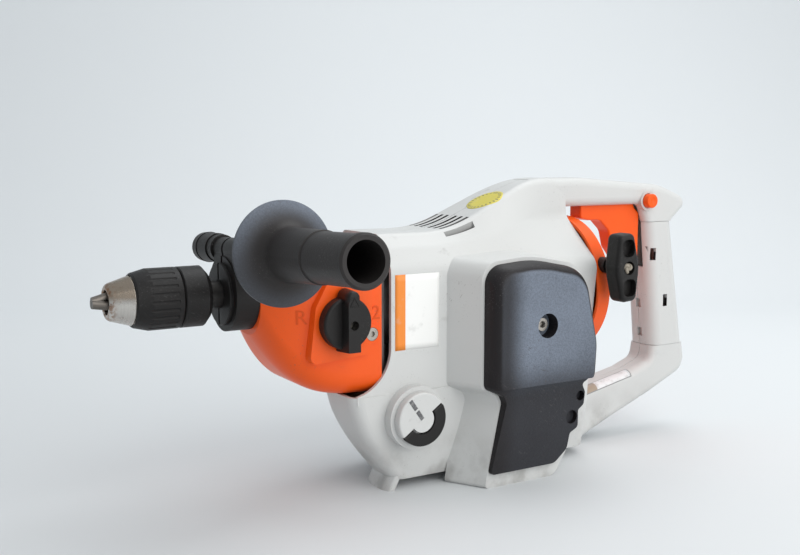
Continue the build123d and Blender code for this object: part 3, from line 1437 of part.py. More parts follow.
# Fuel system
def fuel_tank():
    """Moulded tank in the base with a filler neck on the left."""
    near = base_half_width - base_tuck - wall - tank_gap
    neck_end = base_half_width + cap_boss_height - 1
    room = block(lip_front, tank_rear, -100, 100, base_bottom, -lip_drop - tank_top_drop)
    tank = base_form(wall + tank_gap) & room
    tank += rod_y(filler_diameter + 2 * filler_wall, -neck_end, -near + 10, cap_x, cap_z)
    return tank - rod_y(filler_diameter, -neck_end - 1, -near + 8, cap_x, cap_z)


cap_back = base_half_width + cap_boss_height + 0.3
cap_front = cap_back + cap_height
bail_frame = Pos(cap_x, 0, cap_z) * Rot(0, -bail_tilt, 0)


def bail_region(inner, outer, wall_distance):
    """Half annulus below the hinge line, as an outline about the cap's centre."""
    ring = Circle(outer) - Circle(inner)
    return ring & Pos(0, -wall_distance - 50) * Rectangle(200, 100)


def fuel_cap():
    """Screw cap with a hub, a half-ring recess for the bail, finger scallops and a plug."""
    radius = cap_diameter / 2
    cap = rod_y(cap_diameter, -cap_front, -cap_back, cap_x, cap_z)
    rim = [e for e in cap.edges() if abs(e.center().Y + cap_front) < 0.01]
    cap = fillet(rim, 1.5)
    region = bail_region(cap_hub_diameter / 2, radius + 1, 0)
    depth = bail_thickness + loose_clearance
    cap -= bail_frame * extrude(Plane.XZ.offset(cap_front - depth) * region, amount=depth + 1)
    cap += rod_y(filler_diameter - 4 * running_clearance, -cap_back - 1, -cap_back + 8, cap_x, cap_z)
    return cap


def cap_bail():
    """Half-ring handle that folds flush into the cap and hinges on two knuckles."""
    inner = cap_hub_diameter / 2 + bail_hub_gap
    outer = cap_diameter / 2 - 0.5
    hinge = bail_thickness / 2 + loose_clearance
    plate = extrude(Plane.XZ.offset(cap_front - bail_thickness) * bail_region(inner, outer, hinge),
                    amount=bail_thickness)
    level = cap_front - bail_thickness / 2
    reach = sqrt(outer ** 2 - hinge ** 2) - 0.3
    knuckles = rod_x(bail_thickness, inner, reach) + rod_x(bail_thickness, -reach, -inner)
    return bail_frame * (plate + Pos(0, -level, -hinge) * knuckles)


# Recoil starter
starter_front = body_rear + 0.3
starter_rear = starter_front + starter_depth


def starter_cover():
    """Orange dish behind the engine with a rounded rim, a bearing post and the rope hole."""
    inner = starter_radius - starter_wall
    dish = turned_x([
        (starter_front, inner), (starter_front, starter_radius), (starter_rear - 5, starter_radius - 1),
        (starter_rear, starter_radius - 7), (starter_rear, 0), (starter_rear - starter_wall, 0),
        (starter_rear - starter_wall, inner - 6), (starter_rear - 5 - starter_wall, inner - 1)], z=crank_axis_z)
    dish += rod_x(starter_post_diameter, starter_front + 2, starter_rear - 1, z=crank_axis_z)
    return dish - rod_y(guide_outer_diameter, -starter_radius - 5, -20, rope_x, rope_height)


def starter_pulley():
    """Rope pulley on the starter's post with two flanges."""
    front = rope_x - pulley_width / 2
    rear = rope_x + pulley_width / 2
    flange = pulley_radius + 5
    groove = pulley_radius - rope_diameter
    pulley = turned_x([
        (front, starter_post_diameter / 2 + running_clearance), (front, flange), (front + 1.6, flange),
        (front + 1.6, groove), (rear - 1.6, groove), (rear - 1.6, flange), (rear, flange),
        (rear, starter_post_diameter / 2 + running_clearance)], z=crank_axis_z)
    return pulley


def recoil_spring():
    """Wound return spring beside the pulley, as its closed coil pack."""
    front = starter_front + 0.2
    outer = rod_x(2 * pulley_radius, front, rope_x - pulley_width / 2 - 0.4, z=crank_axis_z)
    return outer - rod_x(starter_post_diameter + 2 * loose_clearance, front - 1, rope_x, z=crank_axis_z)


def rope_guide():
    """Bush that leads the rope out of the starter's side."""
    base = -starter_radius + 6
    tip = -starter_radius - guide_length
    bush = rod_y(guide_outer_diameter, -starter_radius - 2, base, rope_x, rope_height)
    bush += rod_y(guide_tip_diameter, tip, -starter_radius - 1, rope_x, rope_height)
    return bush - rod_y(rope_diameter + 2 * loose_clearance, tip - 1, base + 1, rope_x, rope_height)


def starter_grip():
    """Oval pull grip with two pockets in its face and a well for the knot."""
    back = starter_radius + guide_length + 0.5
    face = back + starter_grip_depth
    end = starter_grip_height / 2
    waist = starter_grip_width / 2
    tip = starter_grip_tip / 2
    barrel = polygon([(-tip, -end), (tip, -end), (waist, 0), (tip, end), (-tip, end), (-waist, 0)],
                     [5, 5, 40, 5, 5, 40])
    outline = Pos(rope_x, rope_height) * Rot(0, 0, starter_grip_lean) * barrel
    grip = extrude(Plane.XZ.offset(back) * outline, amount=starter_grip_depth)
    rims = [e for f in grip.faces().filter_by(Axis.Y) for e in f.edges()]
    grip = fillet(rims, 4.0)
    for side in (-1, 1):
        pocket = Pos(rope_x, rope_height) * Rot(0, 0, starter_grip_lean) * Pos(
            0, side * starter_grip_height * 0.29) * RectangleRounded(starter_grip_tip - 2, 14, 5)
        grip -= extrude(Plane.XZ.offset(face - starter_pocket_depth) * pocket, amount=starter_grip_depth)
    grip -= rod_y(knot_well_diameter, -face - 1, -face + starter_pocket_depth, rope_x, rope_height)
    return grip - rod_y(rope_diameter + 2 * loose_clearance, -face - 1, -back + 1, rope_x, rope_height)


def starter_rope():
    """Rope from the knot in the grip through the guide to the pulley's upper edge."""
    face = starter_radius + guide_length + 0.5 + starter_grip_depth
    rope = rod_y(rope_diameter, -face + 3, 0, rope_x, rope_height)
    return rope + Pos(rope_x, -face + 3, rope_height) * Sphere(rope_diameter * 0.9)


# Export
shell = housing_shell()
nodes = {
    "chuck_body": chuck_body(),
    "chuck_front_sleeve": chuck_front_sleeve(),
    "chuck_nut": chuck_nut(),
    "chuck_rear_sleeve": chuck_rear_sleeve(),
    "spindle": spindle(),
    "shaft_bearings": shaft_bearings(),
    "neck_cap": neck_cap(),
    "handle_clamp": handle_clamp(),
    "clamp_bolt": clamp_bolt(),
    "clamp_knob": clamp_knob(),
    "side_handle": side_handle(),
    "gear_housing": gear_housing(),
    "gear_housing_screws": case_screws(),
    "bearing_plate": bearing_plate(),
    "sliding_gear": sliding_gear(),
    "countershaft": countershaft(),
    "reverse_idler": reverse_idler(),
    "idler_pin": idler_pin(),
    "input_shaft": input_shaft(),
    "selector_knob": selector_knob(),
    "selector_screw": selector_screw(),
    "selector_shaft": selector_shaft(),
    "shift_fork": shift_fork(),
    "clutch_housing": clutch_housing(),
    "clutch_drum": clutch_drum(),
    "clutch_carrier": clutch_carrier(),
    "clutch_shoes": clutch_shoes(),
    "flywheel": flywheel(),
    "crankshaft": crankshaft(),
    "crankcase": crankcase(),
    "cylinder": cylinder(),
    "spark_plug": spark_plug(),
    "spark_plug_boot": plug_boot(),
    "ignition_module": ignition_module(),
    "carburettor": carburettor(),
    "air_filter": air_filter(),
    "filter_cover": filter_cover(),
    "filter_cover_screw": cover_screw(),
    "muffler": muffler(),
    "muffler_guard": muffler_guard(),
    "housing_left": housing_half(shell, -1),
    "housing_right": housing_half(shell, 1),
    "housing_screws": housing_screws(),
    "rear_grip_left": grip_half(-1),
    "rear_grip_right": grip_half(1),
    "throttle_trigger": throttle_trigger(),
    "trigger_pin": trigger_pin(),
    "throttle_lock_button": lock_button(),
    "fuel_tank": fuel_tank(),
    "fuel_cap": fuel_cap(),
    "fuel_cap_bail": cap_bail(),
    "starter_cover": starter_cover(),
    "starter_pulley": starter_pulley(),
    "recoil_spring": recoil_spring(),
    "rope_guide": rope_guide(),
    "starter_grip": starter_grip(),
    "starter_rope": starter_rope(),
}
for index in range(3):
    nodes[f"chuck_jaw_{index + 1}"] = chuck_jaw(index)
for name, solid in nodes.items():
    export_step(solid, f"parts/{name}.step")
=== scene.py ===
"""Looks of a petrol drill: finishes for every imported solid, the ring of the chuck's nose, the selector's
pointer and marks, blank labels, the star socket of the cover screw, the twisted starter rope and a pale
studio stage. Lengths are metres in the drill's own frame: +X runs from the chuck to the rear handle, +Z is
up and -Y is the side with the filter cover and the fuel cap.
"""

import math

import bpy
import numpy as np
from bpy.props import FloatProperty, FloatVectorProperty, IntProperty, PointerProperty
from mathutils import Matrix, Vector
from mathutils.bvhtree import BVHTree


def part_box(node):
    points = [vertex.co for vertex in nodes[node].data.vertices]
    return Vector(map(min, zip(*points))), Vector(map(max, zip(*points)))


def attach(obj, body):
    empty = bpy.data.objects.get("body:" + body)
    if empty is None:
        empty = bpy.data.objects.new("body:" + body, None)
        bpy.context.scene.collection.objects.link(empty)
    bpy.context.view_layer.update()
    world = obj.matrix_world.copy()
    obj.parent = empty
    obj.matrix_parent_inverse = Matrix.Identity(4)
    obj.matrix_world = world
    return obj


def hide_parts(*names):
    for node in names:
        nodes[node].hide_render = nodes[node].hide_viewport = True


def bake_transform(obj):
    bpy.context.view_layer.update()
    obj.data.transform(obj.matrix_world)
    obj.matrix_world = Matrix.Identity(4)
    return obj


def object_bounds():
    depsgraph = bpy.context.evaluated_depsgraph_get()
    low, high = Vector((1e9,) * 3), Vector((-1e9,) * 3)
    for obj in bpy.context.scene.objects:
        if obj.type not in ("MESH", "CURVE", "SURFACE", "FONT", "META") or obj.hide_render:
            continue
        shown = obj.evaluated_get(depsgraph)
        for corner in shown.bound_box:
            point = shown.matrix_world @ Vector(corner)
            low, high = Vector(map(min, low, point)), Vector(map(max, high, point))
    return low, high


bl_info = {
    "name": "Petrol Drill Looks",
    "version": (1, 0, 0),
    "blender": (4, 5, 0),
    "location": "View3D > Sidebar > Drill",
    "description": "Finishes, marks and small visible pieces of a petrol drill",
    "category": "Object",
}

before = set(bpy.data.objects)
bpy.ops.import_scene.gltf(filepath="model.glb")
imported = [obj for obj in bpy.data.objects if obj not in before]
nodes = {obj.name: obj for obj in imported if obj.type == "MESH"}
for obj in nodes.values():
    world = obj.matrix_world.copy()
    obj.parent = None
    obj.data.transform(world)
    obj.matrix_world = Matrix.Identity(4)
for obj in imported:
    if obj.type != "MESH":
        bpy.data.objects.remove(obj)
cad_box = [list(corner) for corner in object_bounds()]

# Direction in which seeds are carried onto the left side, and a Y well clear of that side
INWARD = (0, 1, 0)
CLEAR_LEFT = -0.2

# Section (x, r) of the chuck's nose ring in millimetres: its bore, its rounded rim and its cone
NOSE_BORE = ((0.9, 8.75), (-4.2, 8.45), (-4.6, 8.6), (-4.95, 9.0))
NOSE_RIM = (
    (-5.0, 9.3), (-5.0, 9.9), (-4.75, 10.9), (-4.2, 11.8), (-3.5, 12.5), (-2.6, 13.05), (-2.2, 13.17))
NOSE_CONE = ((5.0, 15.36), (11.0, 17.19), (11.2, 17.25), (11.3, 17.1), (11.3, 16.0))

# Selector marks with their angles in degrees, and the bars on the fuel cap as shares of its radius
SELECTOR_MARKS = (("R", 172.0), ("1", 90.0), ("2", 8.0))
CAP_BARS = ((0.03, 0.42), (0.50, 0.93))
CAP_LEAN = 35.0

# Places of the blank labels
LABEL_CORNER = (0.1943, CLEAR_LEFT, -0.0455)
DISC_CENTRE = (0.302, -0.0080, 0.0622)
DISC_DROP = (0.42, 0, -0.90)
PLATE_CORNER = (0.408, -0.0282, -0.0955)
PLATE_ACROSS = (0.054, 0, 0.0112)
PLATE_UP = (0, 0.0080, 0.0060)
PLATE_DROP = (0, 0.6, -0.8)

# Rope and knot
ROPE_RADIUS = 0.00185
STRAND_SHARE = 0.52
KNOT_SCALE = 0.00115
KNOT_RADIUS = 0.0015

# Camera angles in degrees, its target and its offsets from there along right, up and the line of sight
CAMERA_TURN = 31.0
CAMERA_TILT = 7.0
CAMERA_TARGET = (0.0473, 0, 0)
CAMERA_RIGHT = 0.1538
CAMERA_UP = 0.01363
CAMERA_DISTANCE = 0.7132
LIGHT_TARGET = (0.27, -0.04, -0.03)
TOP_LIGHT = (0.75, 0.20, 1.25)
SKY_COLOUR = (0.93, 0.97, 1.0, 1.0)
SKY_STRENGTH = 0.585


# Properties

def colour_property(name, description, value):
    """Colour in linear light with a picker."""
    return FloatVectorProperty(
        name=name, description=description, default=value, subtype="COLOR", size=3, min=0, max=1)


def length_property(name, description, value):
    """Length in metres."""
    return FloatProperty(name=name, description=description, default=value, unit="LENGTH", min=0)


class DrillColours(bpy.types.PropertyGroup):
    """Base colours of the drill's finishes."""

    white: colour_property("White", "Moulded housing and cap", (0.605, 0.610, 0.600))
    orange: colour_property("Orange", "Gear casting, trigger and starter cover", (0.95, 0.110, 0.007))
    black: colour_property("Black", "Grained black mouldings", (0.008, 0.0072, 0.007))
    slate: colour_property("Slate", "Filter cover", (0.011, 0.0095, 0.0105))
    rubber: colour_property("Rubber", "Side handle and plug boot", (0.020, 0.0175, 0.017))
    steel: colour_property("Steel", "Machined steel", (0.46, 0.43, 0.39))
    nose: colour_property("Nose steel", "Polished chuck nose", (0.68, 0.65, 0.61))
    jaw: colour_property("Jaw steel", "Worn chuck jaws", (0.20, 0.18, 0.16))
    blackened: colour_property("Blackened steel", "Spindle, recoil spring and fork", (0.06, 0.057, 0.055))
    casting: colour_property("Grey casting", "Bare light-alloy castings", (0.34, 0.34, 0.34))
    iron: colour_property("Iron", "Flywheel and shoes", (0.12, 0.12, 0.12))
    tank: colour_property("Tank", "Pale tank moulding", (0.60, 0.60, 0.55))
    felt: colour_property("Felt", "Filter pleats", (0.50, 0.45, 0.34))
    rope: colour_property("Rope", "Starter rope fibre", (0.42, 0.37, 0.30))
    grime: colour_property("Grime", "Dirt in marks and corners", (0.12, 0.105, 0.09))
    # Painted highlight colour: it stands in for the reflection on the filter cover's face and the sheen on
    # the side handle's guard
    painted_highlight: colour_property("Dust", "Pale dust on the filter cover", (0.20, 0.235, 0.295))
    floor: colour_property("Floor", "Pale studio paper", (0.84, 0.865, 0.88))


class DrillSizes(bpy.types.PropertyGroup):
    """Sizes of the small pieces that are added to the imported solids."""

    mark_height: length_property("Mark height", "Height of a selector mark", 0.0105)
    mark_relief: length_property("Mark relief", "How far a selector mark stands proud", 0.0004)
    nose_half_width: length_property("Nose half width", "Half width of the selector's pointer nose", 0.0058)
    nose_reach: length_property("Nose reach", "Reach of the pointer nose from the selector's middle", 0.0250)
    label_width: length_property("Label width", "Width of the blank side label", 0.0385)
    label_height: length_property("Label height", "Height of the blank side label", 0.0565)
    cap_mark_width: length_property("Cap mark width", "Width of a bar on the fuel cap", 0.0032)
    film: length_property("Film", "Thickness of label film", 0.00015)
    seam: length_property("Seam", "Half width of the strip at the shell's seam that the disc bridges", 0.0015)
    disc_radius: length_property("Disc radius", "Radius of the blank yellow disc", 0.0158)
    rope_lay: length_property("Rope lay", "Length of one turn of a rope strand", 0.009)
    rope_strands: IntProperty(
        name="Rope strands", description="Strands twisted in the rope", default=3, min=2, max=6)
    lens: FloatProperty(name="Lens", description="Focal length in millimetres", default=45.9, min=10, max=300)


class DrillLooks(bpy.types.PropertyGroup):
    """All settings of the drill's looks."""

    colours: PointerProperty(type=DrillColours, name="Colours", description="Base colours")
    sizes: PointerProperty(type=DrillSizes, name="Sizes", description="Sizes of added pieces")


def looks():
    """Settings of the current scene."""
    return bpy.context.scene.drill_looks


# Shader sockets as numbers

class Wire:
    """Output socket in a finish's node tree that adds and multiplies like a number."""

    def __init__(self, finish, socket):
        self.finish = finish
        self.socket = socket

    def math(self, operation, *others):
        return self.finish.node("ShaderNodeMath", (self, *others), operation=operation)

    def __add__(self, other):
        return self.math("ADD", other)

    def __sub__(self, other):
        return self.math("SUBTRACT", other)

    def __rsub__(self, other):
        return self.finish.node("ShaderNodeMath", (other, self), operation="SUBTRACT")

    def __mul__(self, other):
        return self.math("MULTIPLY", other)

    __radd__ = __add__
    __rmul__ = __mul__

    def step(self, low, high):
        """Smooth step from 0 at low to 1 at high; low above high turns it round."""
        inputs = {"Value": self, "From Min": low, "From Max": high}
        return self.finish.node("ShaderNodeMapRange", inputs, interpolation_type="SMOOTHSTEP")

    def within(self, low, high, soft):
        """1 between low and high, with a soft edge inside each."""
        return self.step(low, low + soft) * self.step(high, high - soft)


class Finish:
    """Procedural material on the piece's own coordinates."""

    def __init__(self, name, metallic=0.0, coat=0.0, shine=0.5):
        self.material = bpy.data.materials.new(name)
        self.material.use_nodes = True
        self.tree = self.material.node_tree
        self.shader = self.tree.nodes["Principled BSDF"]
        self.shader.inputs["Metallic"].default_value = metallic
        self.shader.inputs["Coat Weight"].default_value = coat
        self.shader.inputs["Coat Roughness"].default_value = 0.25
        self.shader.inputs["Specular IOR Level"].default_value = shine
        self.place = self.node("ShaderNodeTexCoord", output="Object")

    def node(self, kind, inputs=(), output=0, **settings):
        """Adds a node, feeds its inputs by place or by name, and gives back one output."""
        node = self.tree.nodes.new(kind)
        for key, value in settings.items():
            setattr(node, key, value)
        pairs = inputs.items() if isinstance(inputs, dict) else enumerate(inputs)
        for key, value in pairs:
            self.feed(node.inputs[key], value)
        return Wire(self, node.outputs[output])

    def feed(self, socket, value):
        """Links a wire, or sets a plain value."""
        if isinstance(value, Wire):
            self.tree.links.new(value.socket, socket)
        elif socket.type == "RGBA" and len(value) == 3:
            socket.default_value = (*value, 1.0)
        else:
            socket.default_value = value

    def noise(self, scale, detail=3.0, roughness=0.55, place=None):
        """Fractal noise from 0 to 1."""
        inputs = {"Vector": place or self.place, "Scale": scale, "Detail": detail, "Roughness": roughness}
        return self.node("ShaderNodeTexNoise", inputs, output="Fac")

    def stretched(self, scale, turn=(0.0, 0.0, 0.0)):
        """Coordinates scaled and turned, for streaks."""
        inputs = {"Vector": self.place, "Rotation": turn, "Scale": scale}
        return self.node("ShaderNodeMapping", inputs, vector_type="TEXTURE")

    def scratches(self, turn, density=0.62, length=0.03, width=0.0006, patch=22.0):
        """Thin streaks in one direction that show only in patches."""
        lines = self.noise(1.0, 2.0, 0.5, self.stretched((length, width, width * 2), turn))
        patches = self.noise(patch, 2.0)
        return lines.step(density, density + 0.07) * patches.step(0.48, 0.62)

    def axis(self, name):
        """One coordinate of the piece in metres."""
        return self.node("ShaderNodeSeparateXYZ", (self.place,), output=name)

    def mix(self, first, second, factor):
        """Colour mix: first where the factor is 0, second where it is 1."""
        return self.node("ShaderNodeMix", {0: factor, 6: first, 7: second}, output=2, data_type="RGBA")

    def bump(self, height, strength, distance, normal=None):
        """Bump from a height, on top of another bump."""
        inputs = {"Height": height, "Strength": strength, "Distance": distance}
        if normal is not None:
            inputs["Normal"] = normal
        return self.node("ShaderNodeBump", inputs)

    def done(self, colour, roughness, normal=None):
        """Feeds the shader and returns the material."""
        self.feed(self.shader.inputs["Base Color"], colour)
        self.feed(self.shader.inputs["Roughness"], roughness)
        if normal is not None:
            self.feed(self.shader.inputs["Normal"], normal)
        return self.material


def slit_shade(finish):
    """Painted shade share: 1 on the louvre and grip-slot walls, where the surface turns away from outside."""
    x, y, z = (finish.axis(name) for name in "XYZ")
    off_seam = y * y
    normal = finish.node("ShaderNodeTexCoord", output="Normal")
    across, rise = (finish.node("ShaderNodeSeparateXYZ", (normal,), output=name) for name in "YZ")
    steep = rise.step(0.45, 0.25)
    top = 0.4 + off_seam.step(0.023 ** 2, 0.018 ** 2) * 0.6
    louvres = steep * x.within(0.2455, 0.2795, 0.001) * z.step(0.015, 0.020)
    louvres = louvres * off_seam.step(0.036 ** 2, 0.035 ** 2) * top
    from_slot = x + z * 0.3605 - 0.48774
    slots = (y * across).step(0.010, 0.006) * (from_slot * from_slot).step(0.0034 ** 2, 0.0031 ** 2)
    slots = slots * z.within(-0.0415, 0.0165, 0.001) * off_seam.step(0.008 ** 2, 0.009 ** 2)
    return (louvres + slots).math("MINIMUM", 1.0)


def white_finish():
    """Satin white moulding with fine grain, grey rub marks, scratches, grime low down and painted shade on
    slit walls.
    """
    colours = looks().colours
    finish = Finish("white_moulding")
    grain = finish.noise(1500, 2.0)
    cloud = finish.noise(9, 4.0)
    rubs = finish.noise(55, 5.0, 0.65).step(0.60, 0.72) * finish.noise(14, 2.0).step(0.45, 0.65)
    lines = finish.scratches((0.3, 0.2, 0.9), 0.68) + finish.scratches((0.1, 0.9, 2.3), 0.69, 0.02)
    low = finish.axis("Z").step(-0.100, -0.155) * finish.noise(40, 4.0).step(0.40, 0.70)
    dirt = (rubs * 0.28 + low * 0.45 + lines * 0.55).math("MINIMUM", 0.8)
    tone = finish.mix(colours.white, tuple(c * 0.93 for c in colours.white), cloud)
    # The slit walls are mixed towards black as painted shade.
    colour = finish.mix(finish.mix(tone, colours.grime, dirt), colours.black, slit_shade(finish))
    roughness = 0.36 + cloud * 0.12 + dirt * 0.25
    normal = finish.bump(lines * -1.0, 0.25, 0.0002, finish.bump(grain, 0.12, 0.0002))
    return finish.done(colour, roughness, normal)


def orange_finish(name, coat=0.0, depth=1.0):
    """Satin orange with cloudy tone, grimy rubbed spots and a few scratches; a depth below 1 darkens it as
    painted shade.
    """
    colours = looks().colours
    orange = tuple(c * depth for c in colours.orange)
    finish = Finish(name, coat=coat, shine=0.25)
    grain = finish.noise(1300, 2.0)
    cloud = finish.noise(12, 4.0)
    rubs = finish.noise(70, 5.0, 0.65).step(0.62, 0.74) * finish.noise(18, 2.0).step(0.50, 0.65)
    lines = finish.scratches((0.2, 0.5, 0.4), 0.66)
    tone = finish.mix(orange, tuple(c * 0.82 for c in orange), cloud)
    colour = finish.mix(tone, colours.grime, rubs * 0.25 + lines * 0.5)
    roughness = 0.34 + cloud * 0.10 + rubs * 0.2
    return finish.done(colour, roughness, finish.bump(grain, 0.10, 0.0002))


def grained_finish(name, base, grain_scale, grain_depth, rub, roughness, shine=0.3, highlight_mask=None):
    """Grained dark moulding with pale scuffs, and a painted highlight where a mask gives a share above 0."""
    finish = Finish(name, shine=shine)
    cells = {"Vector": finish.place, "Scale": grain_scale}
    grain = finish.node("ShaderNodeTexVoronoi", cells, output="Distance")
    cloud = finish.noise(16, 4.0)
    scuffs = finish.noise(90, 5.0, 0.7).step(0.60, 0.75) * finish.noise(24, 2.0).step(0.42, 0.62)
    lines = finish.scratches((0.4, 0.7, 0.2), 0.63, 0.025) + finish.scratches((1.1, 0.2, 1.2), 0.64, 0.018)
    pale = tuple(min(1.0, c * 3.2 + 0.035) for c in base)
    tone = finish.mix(base, tuple(c * 1.45 for c in base), cloud)
    if highlight_mask:
        # The painted highlight is mottled by cloud and fine noise.
        film = 0.25 + cloud * 0.6 + finish.noise(900, 2.0).step(0.3, 0.7) * 0.20
        tone = finish.mix(tone, looks().colours.painted_highlight, highlight_mask(finish) * film)
    colour = finish.mix(tone, pale, (scuffs * rub + lines * 0.6).math("MINIMUM", 1.0))
    level = roughness + cloud * 0.10 + scuffs * 0.12
    return finish.done(colour, level, finish.bump(grain, grain_depth, 0.0003))


def black_finish(name):
    """Grained black moulding."""
    return grained_finish(
        name, looks().colours.black, grain_scale=1100.0, grain_depth=0.2, rub=0.3, roughness=0.42)


def rubber_finish(name, highlight_mask=None):
    """Finely grained rubber."""
    return grained_finish(
        name, looks().colours.rubber, grain_scale=700.0, grain_depth=0.2, rub=0.35, roughness=0.44,
        highlight_mask=highlight_mask)


def cover_painted_reflection(finish):
    """Painted reflection on the flat left face of the filter cover, weaker at its front edge and its step."""
    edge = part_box("filter_cover")[0].x
    normal = finish.node("ShaderNodeTexCoord", output="Normal")
    flat = finish.node("ShaderNodeSeparateXYZ", (normal,), output="Y").step(-0.80, -0.99)
    front = 0.12 + finish.axis("X").step(edge + 0.010, edge + 0.032) * 0.88
    return flat * front * (0.10 + finish.axis("Z").step(-0.088, -0.050) * 0.95)


def guard_painted_sheen(finish):
    """Painted sheen on the guard disc of the side handle, stronger at its upper edge where the light falls.
    """
    low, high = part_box("side_handle")
    across = finish.axis("X") - (low.x + high.x) / 2
    rise = finish.axis("Z") - (low.z + high.z) / 2
    reach = (high.x - low.x) / 2
    out = (across * across + rise * rise).step((reach * 0.55) ** 2, (reach * 0.98) ** 2)
    return out * (0.25 + rise.step(-reach * 0.3, reach) * 0.65)


def turned_steel_finish(name, base, level=0.26, tarnish=0.0):
    """Machined steel with rings around the drill axis and brown stains. Level is its least roughness; tarnish
    is the share of straw colour on its upper half and of rust at its front rim."""
    finish = Finish(name, metallic=1.0)
    rings = finish.noise(1.0, 2.0, 0.5, finish.stretched((0.0006, 0.03, 0.03)))
    stain = finish.noise(120, 4.0, 0.6).step(0.50, 0.75)
    tone = finish.mix(base, tuple(c * 0.72 for c in base), rings)
    if tarnish:
        rust = finish.axis("X").step(0.001, -0.004) * finish.noise(300, 4.0).step(0.42, 0.60)
        tone = finish.mix(tone, (0.24, 0.17, 0.105), finish.axis("Z").step(0.0005, 0.005) * tarnish)
        tone = finish.mix(tone, (0.22, 0.09, 0.03), rust * tarnish)
    colour = finish.mix(tone, (0.10, 0.065, 0.04), stain * 0.55)
    roughness = level + rings * 0.14 + stain * 0.28
    return finish.done(colour, roughness, finish.bump(rings, 0.2, 0.0001))


def bare_metal_finish(name, base, metallic, roughness, pit_scale):
    """Bare metal with fine pits and cloudy tarnish."""
    finish = Finish(name, metallic=metallic)
    pits = finish.noise(pit_scale, 4.0, 0.6)
    cloud = finish.noise(30, 4.0)
    colour = finish.mix(base, tuple(c * 0.6 for c in base), cloud.step(0.35, 0.75))
    return finish.done(colour, roughness + cloud * 0.15, finish.bump(pits, 0.35, 0.0003))


def felt_finish():
    """Fibrous felt."""
    base = looks().colours.felt
    finish = Finish("filter_felt")
    fibre = finish.noise(1800, 5.0, 0.7)
    colour = finish.mix(base, tuple(c * 0.6 for c in base), fibre)
    return finish.done(colour, 0.95 - fibre * 0.05, finish.bump(fibre, 0.6, 0.0005))


def rope_finish():
    """Dirty twisted fibre."""
    base = looks().colours.rope
    finish = Finish("rope_fibre")
    fibre = finish.noise(2600, 4.0, 0.7)
    dirt = finish.noise(160, 3.0)
    colour = finish.mix(base, tuple(c * 0.45 for c in base), fibre * 0.6 + dirt * 0.4)
    return finish.done(colour, 0.85 + fibre * 0.1, finish.bump(fibre, 0.5, 0.0003))


def label_finish():
    """Blank weathered label film: a pale field with a plain amber edge strip and rubbed spots."""
    finish = Finish("blank_label")
    place = finish.node("ShaderNodeUVMap", output="UV")
    across = finish.node("ShaderNodeSeparateXYZ", (place,), output="X")
    rub = finish.noise(60, 4.0).step(0.58, 0.72)
    strip = across.step(0.235, 0.225)
    colour = finish.mix((0.86, 0.86, 0.84), (0.85, 0.25, 0.025), strip)
    colour = finish.mix(colour, (0.55, 0.55, 0.53), rub * 0.5)
    return finish.done(colour, 0.30 + rub * 0.3)


def disc_finish():
    """Blank yellow disc with a ring of plain ticks."""
    finish = Finish("blank_disc")
    place = finish.node("ShaderNodeUVMap", output="UV")
    turn, out = (finish.node("ShaderNodeSeparateXYZ", (place,), output=name) for name in "XY")
    wear = finish.noise(220, 4.0).step(0.50, 0.66)
    ticks = (turn * 24.0).math("FRACT").step(0.42, 0.34) * out.within(0.74, 0.93, 0.02)
    colour = finish.mix((0.62, 0.53, 0.045), (0.60, 0.55, 0.25), wear * 0.5)
    colour = finish.mix(colour, (0.07, 0.07, 0.06), ticks * 0.8)
    return finish.done(colour, 0.38 + wear * 0.3)


def plate_finish():
    """Blank silver-white plate film with a grey rim and a tan patch at its front end."""
    finish = Finish("blank_plate")
    place = finish.node("ShaderNodeUVMap", output="UV")
    u, v = (finish.node("ShaderNodeSeparateXYZ", (place,), output=name) for name in "XY")
    rub = finish.noise(150, 4.0).step(0.50, 0.70)
    inside = u.within(0.01, 0.99, 0.01) * v.within(0.05, 0.95, 0.04)
    colour = finish.mix((0.33, 0.26, 0.19), (0.74, 0.75, 0.76), u.step(0.25, 0.27))
    colour = finish.mix((0.25, 0.25, 0.25), finish.mix(colour, (0.42, 0.41, 0.40), rub * 0.5), inside)
    return finish.done(colour, 0.32 + rub * 0.3)


def mark_finish():
    """Worn dark grey print."""
    finish = Finish("print_grey")
    wear = finish.noise(420, 3.0)
    colour = finish.mix((0.10, 0.10, 0.105), (0.32, 0.32, 0.32), wear.step(0.45, 0.75))
    return finish.done(colour, 0.45 + wear * 0.1)


def socket_finish():
    """Dark oily steel in screw sockets."""
    finish = Finish("socket_steel", metallic=1.0)
    oil = finish.noise(900, 3.0)
    colour = finish.mix((0.30, 0.29, 0.27), (0.12, 0.11, 0.10), oil)
    return finish.done(colour, 0.35 + oil * 0.2)


# Meshes from grids of points

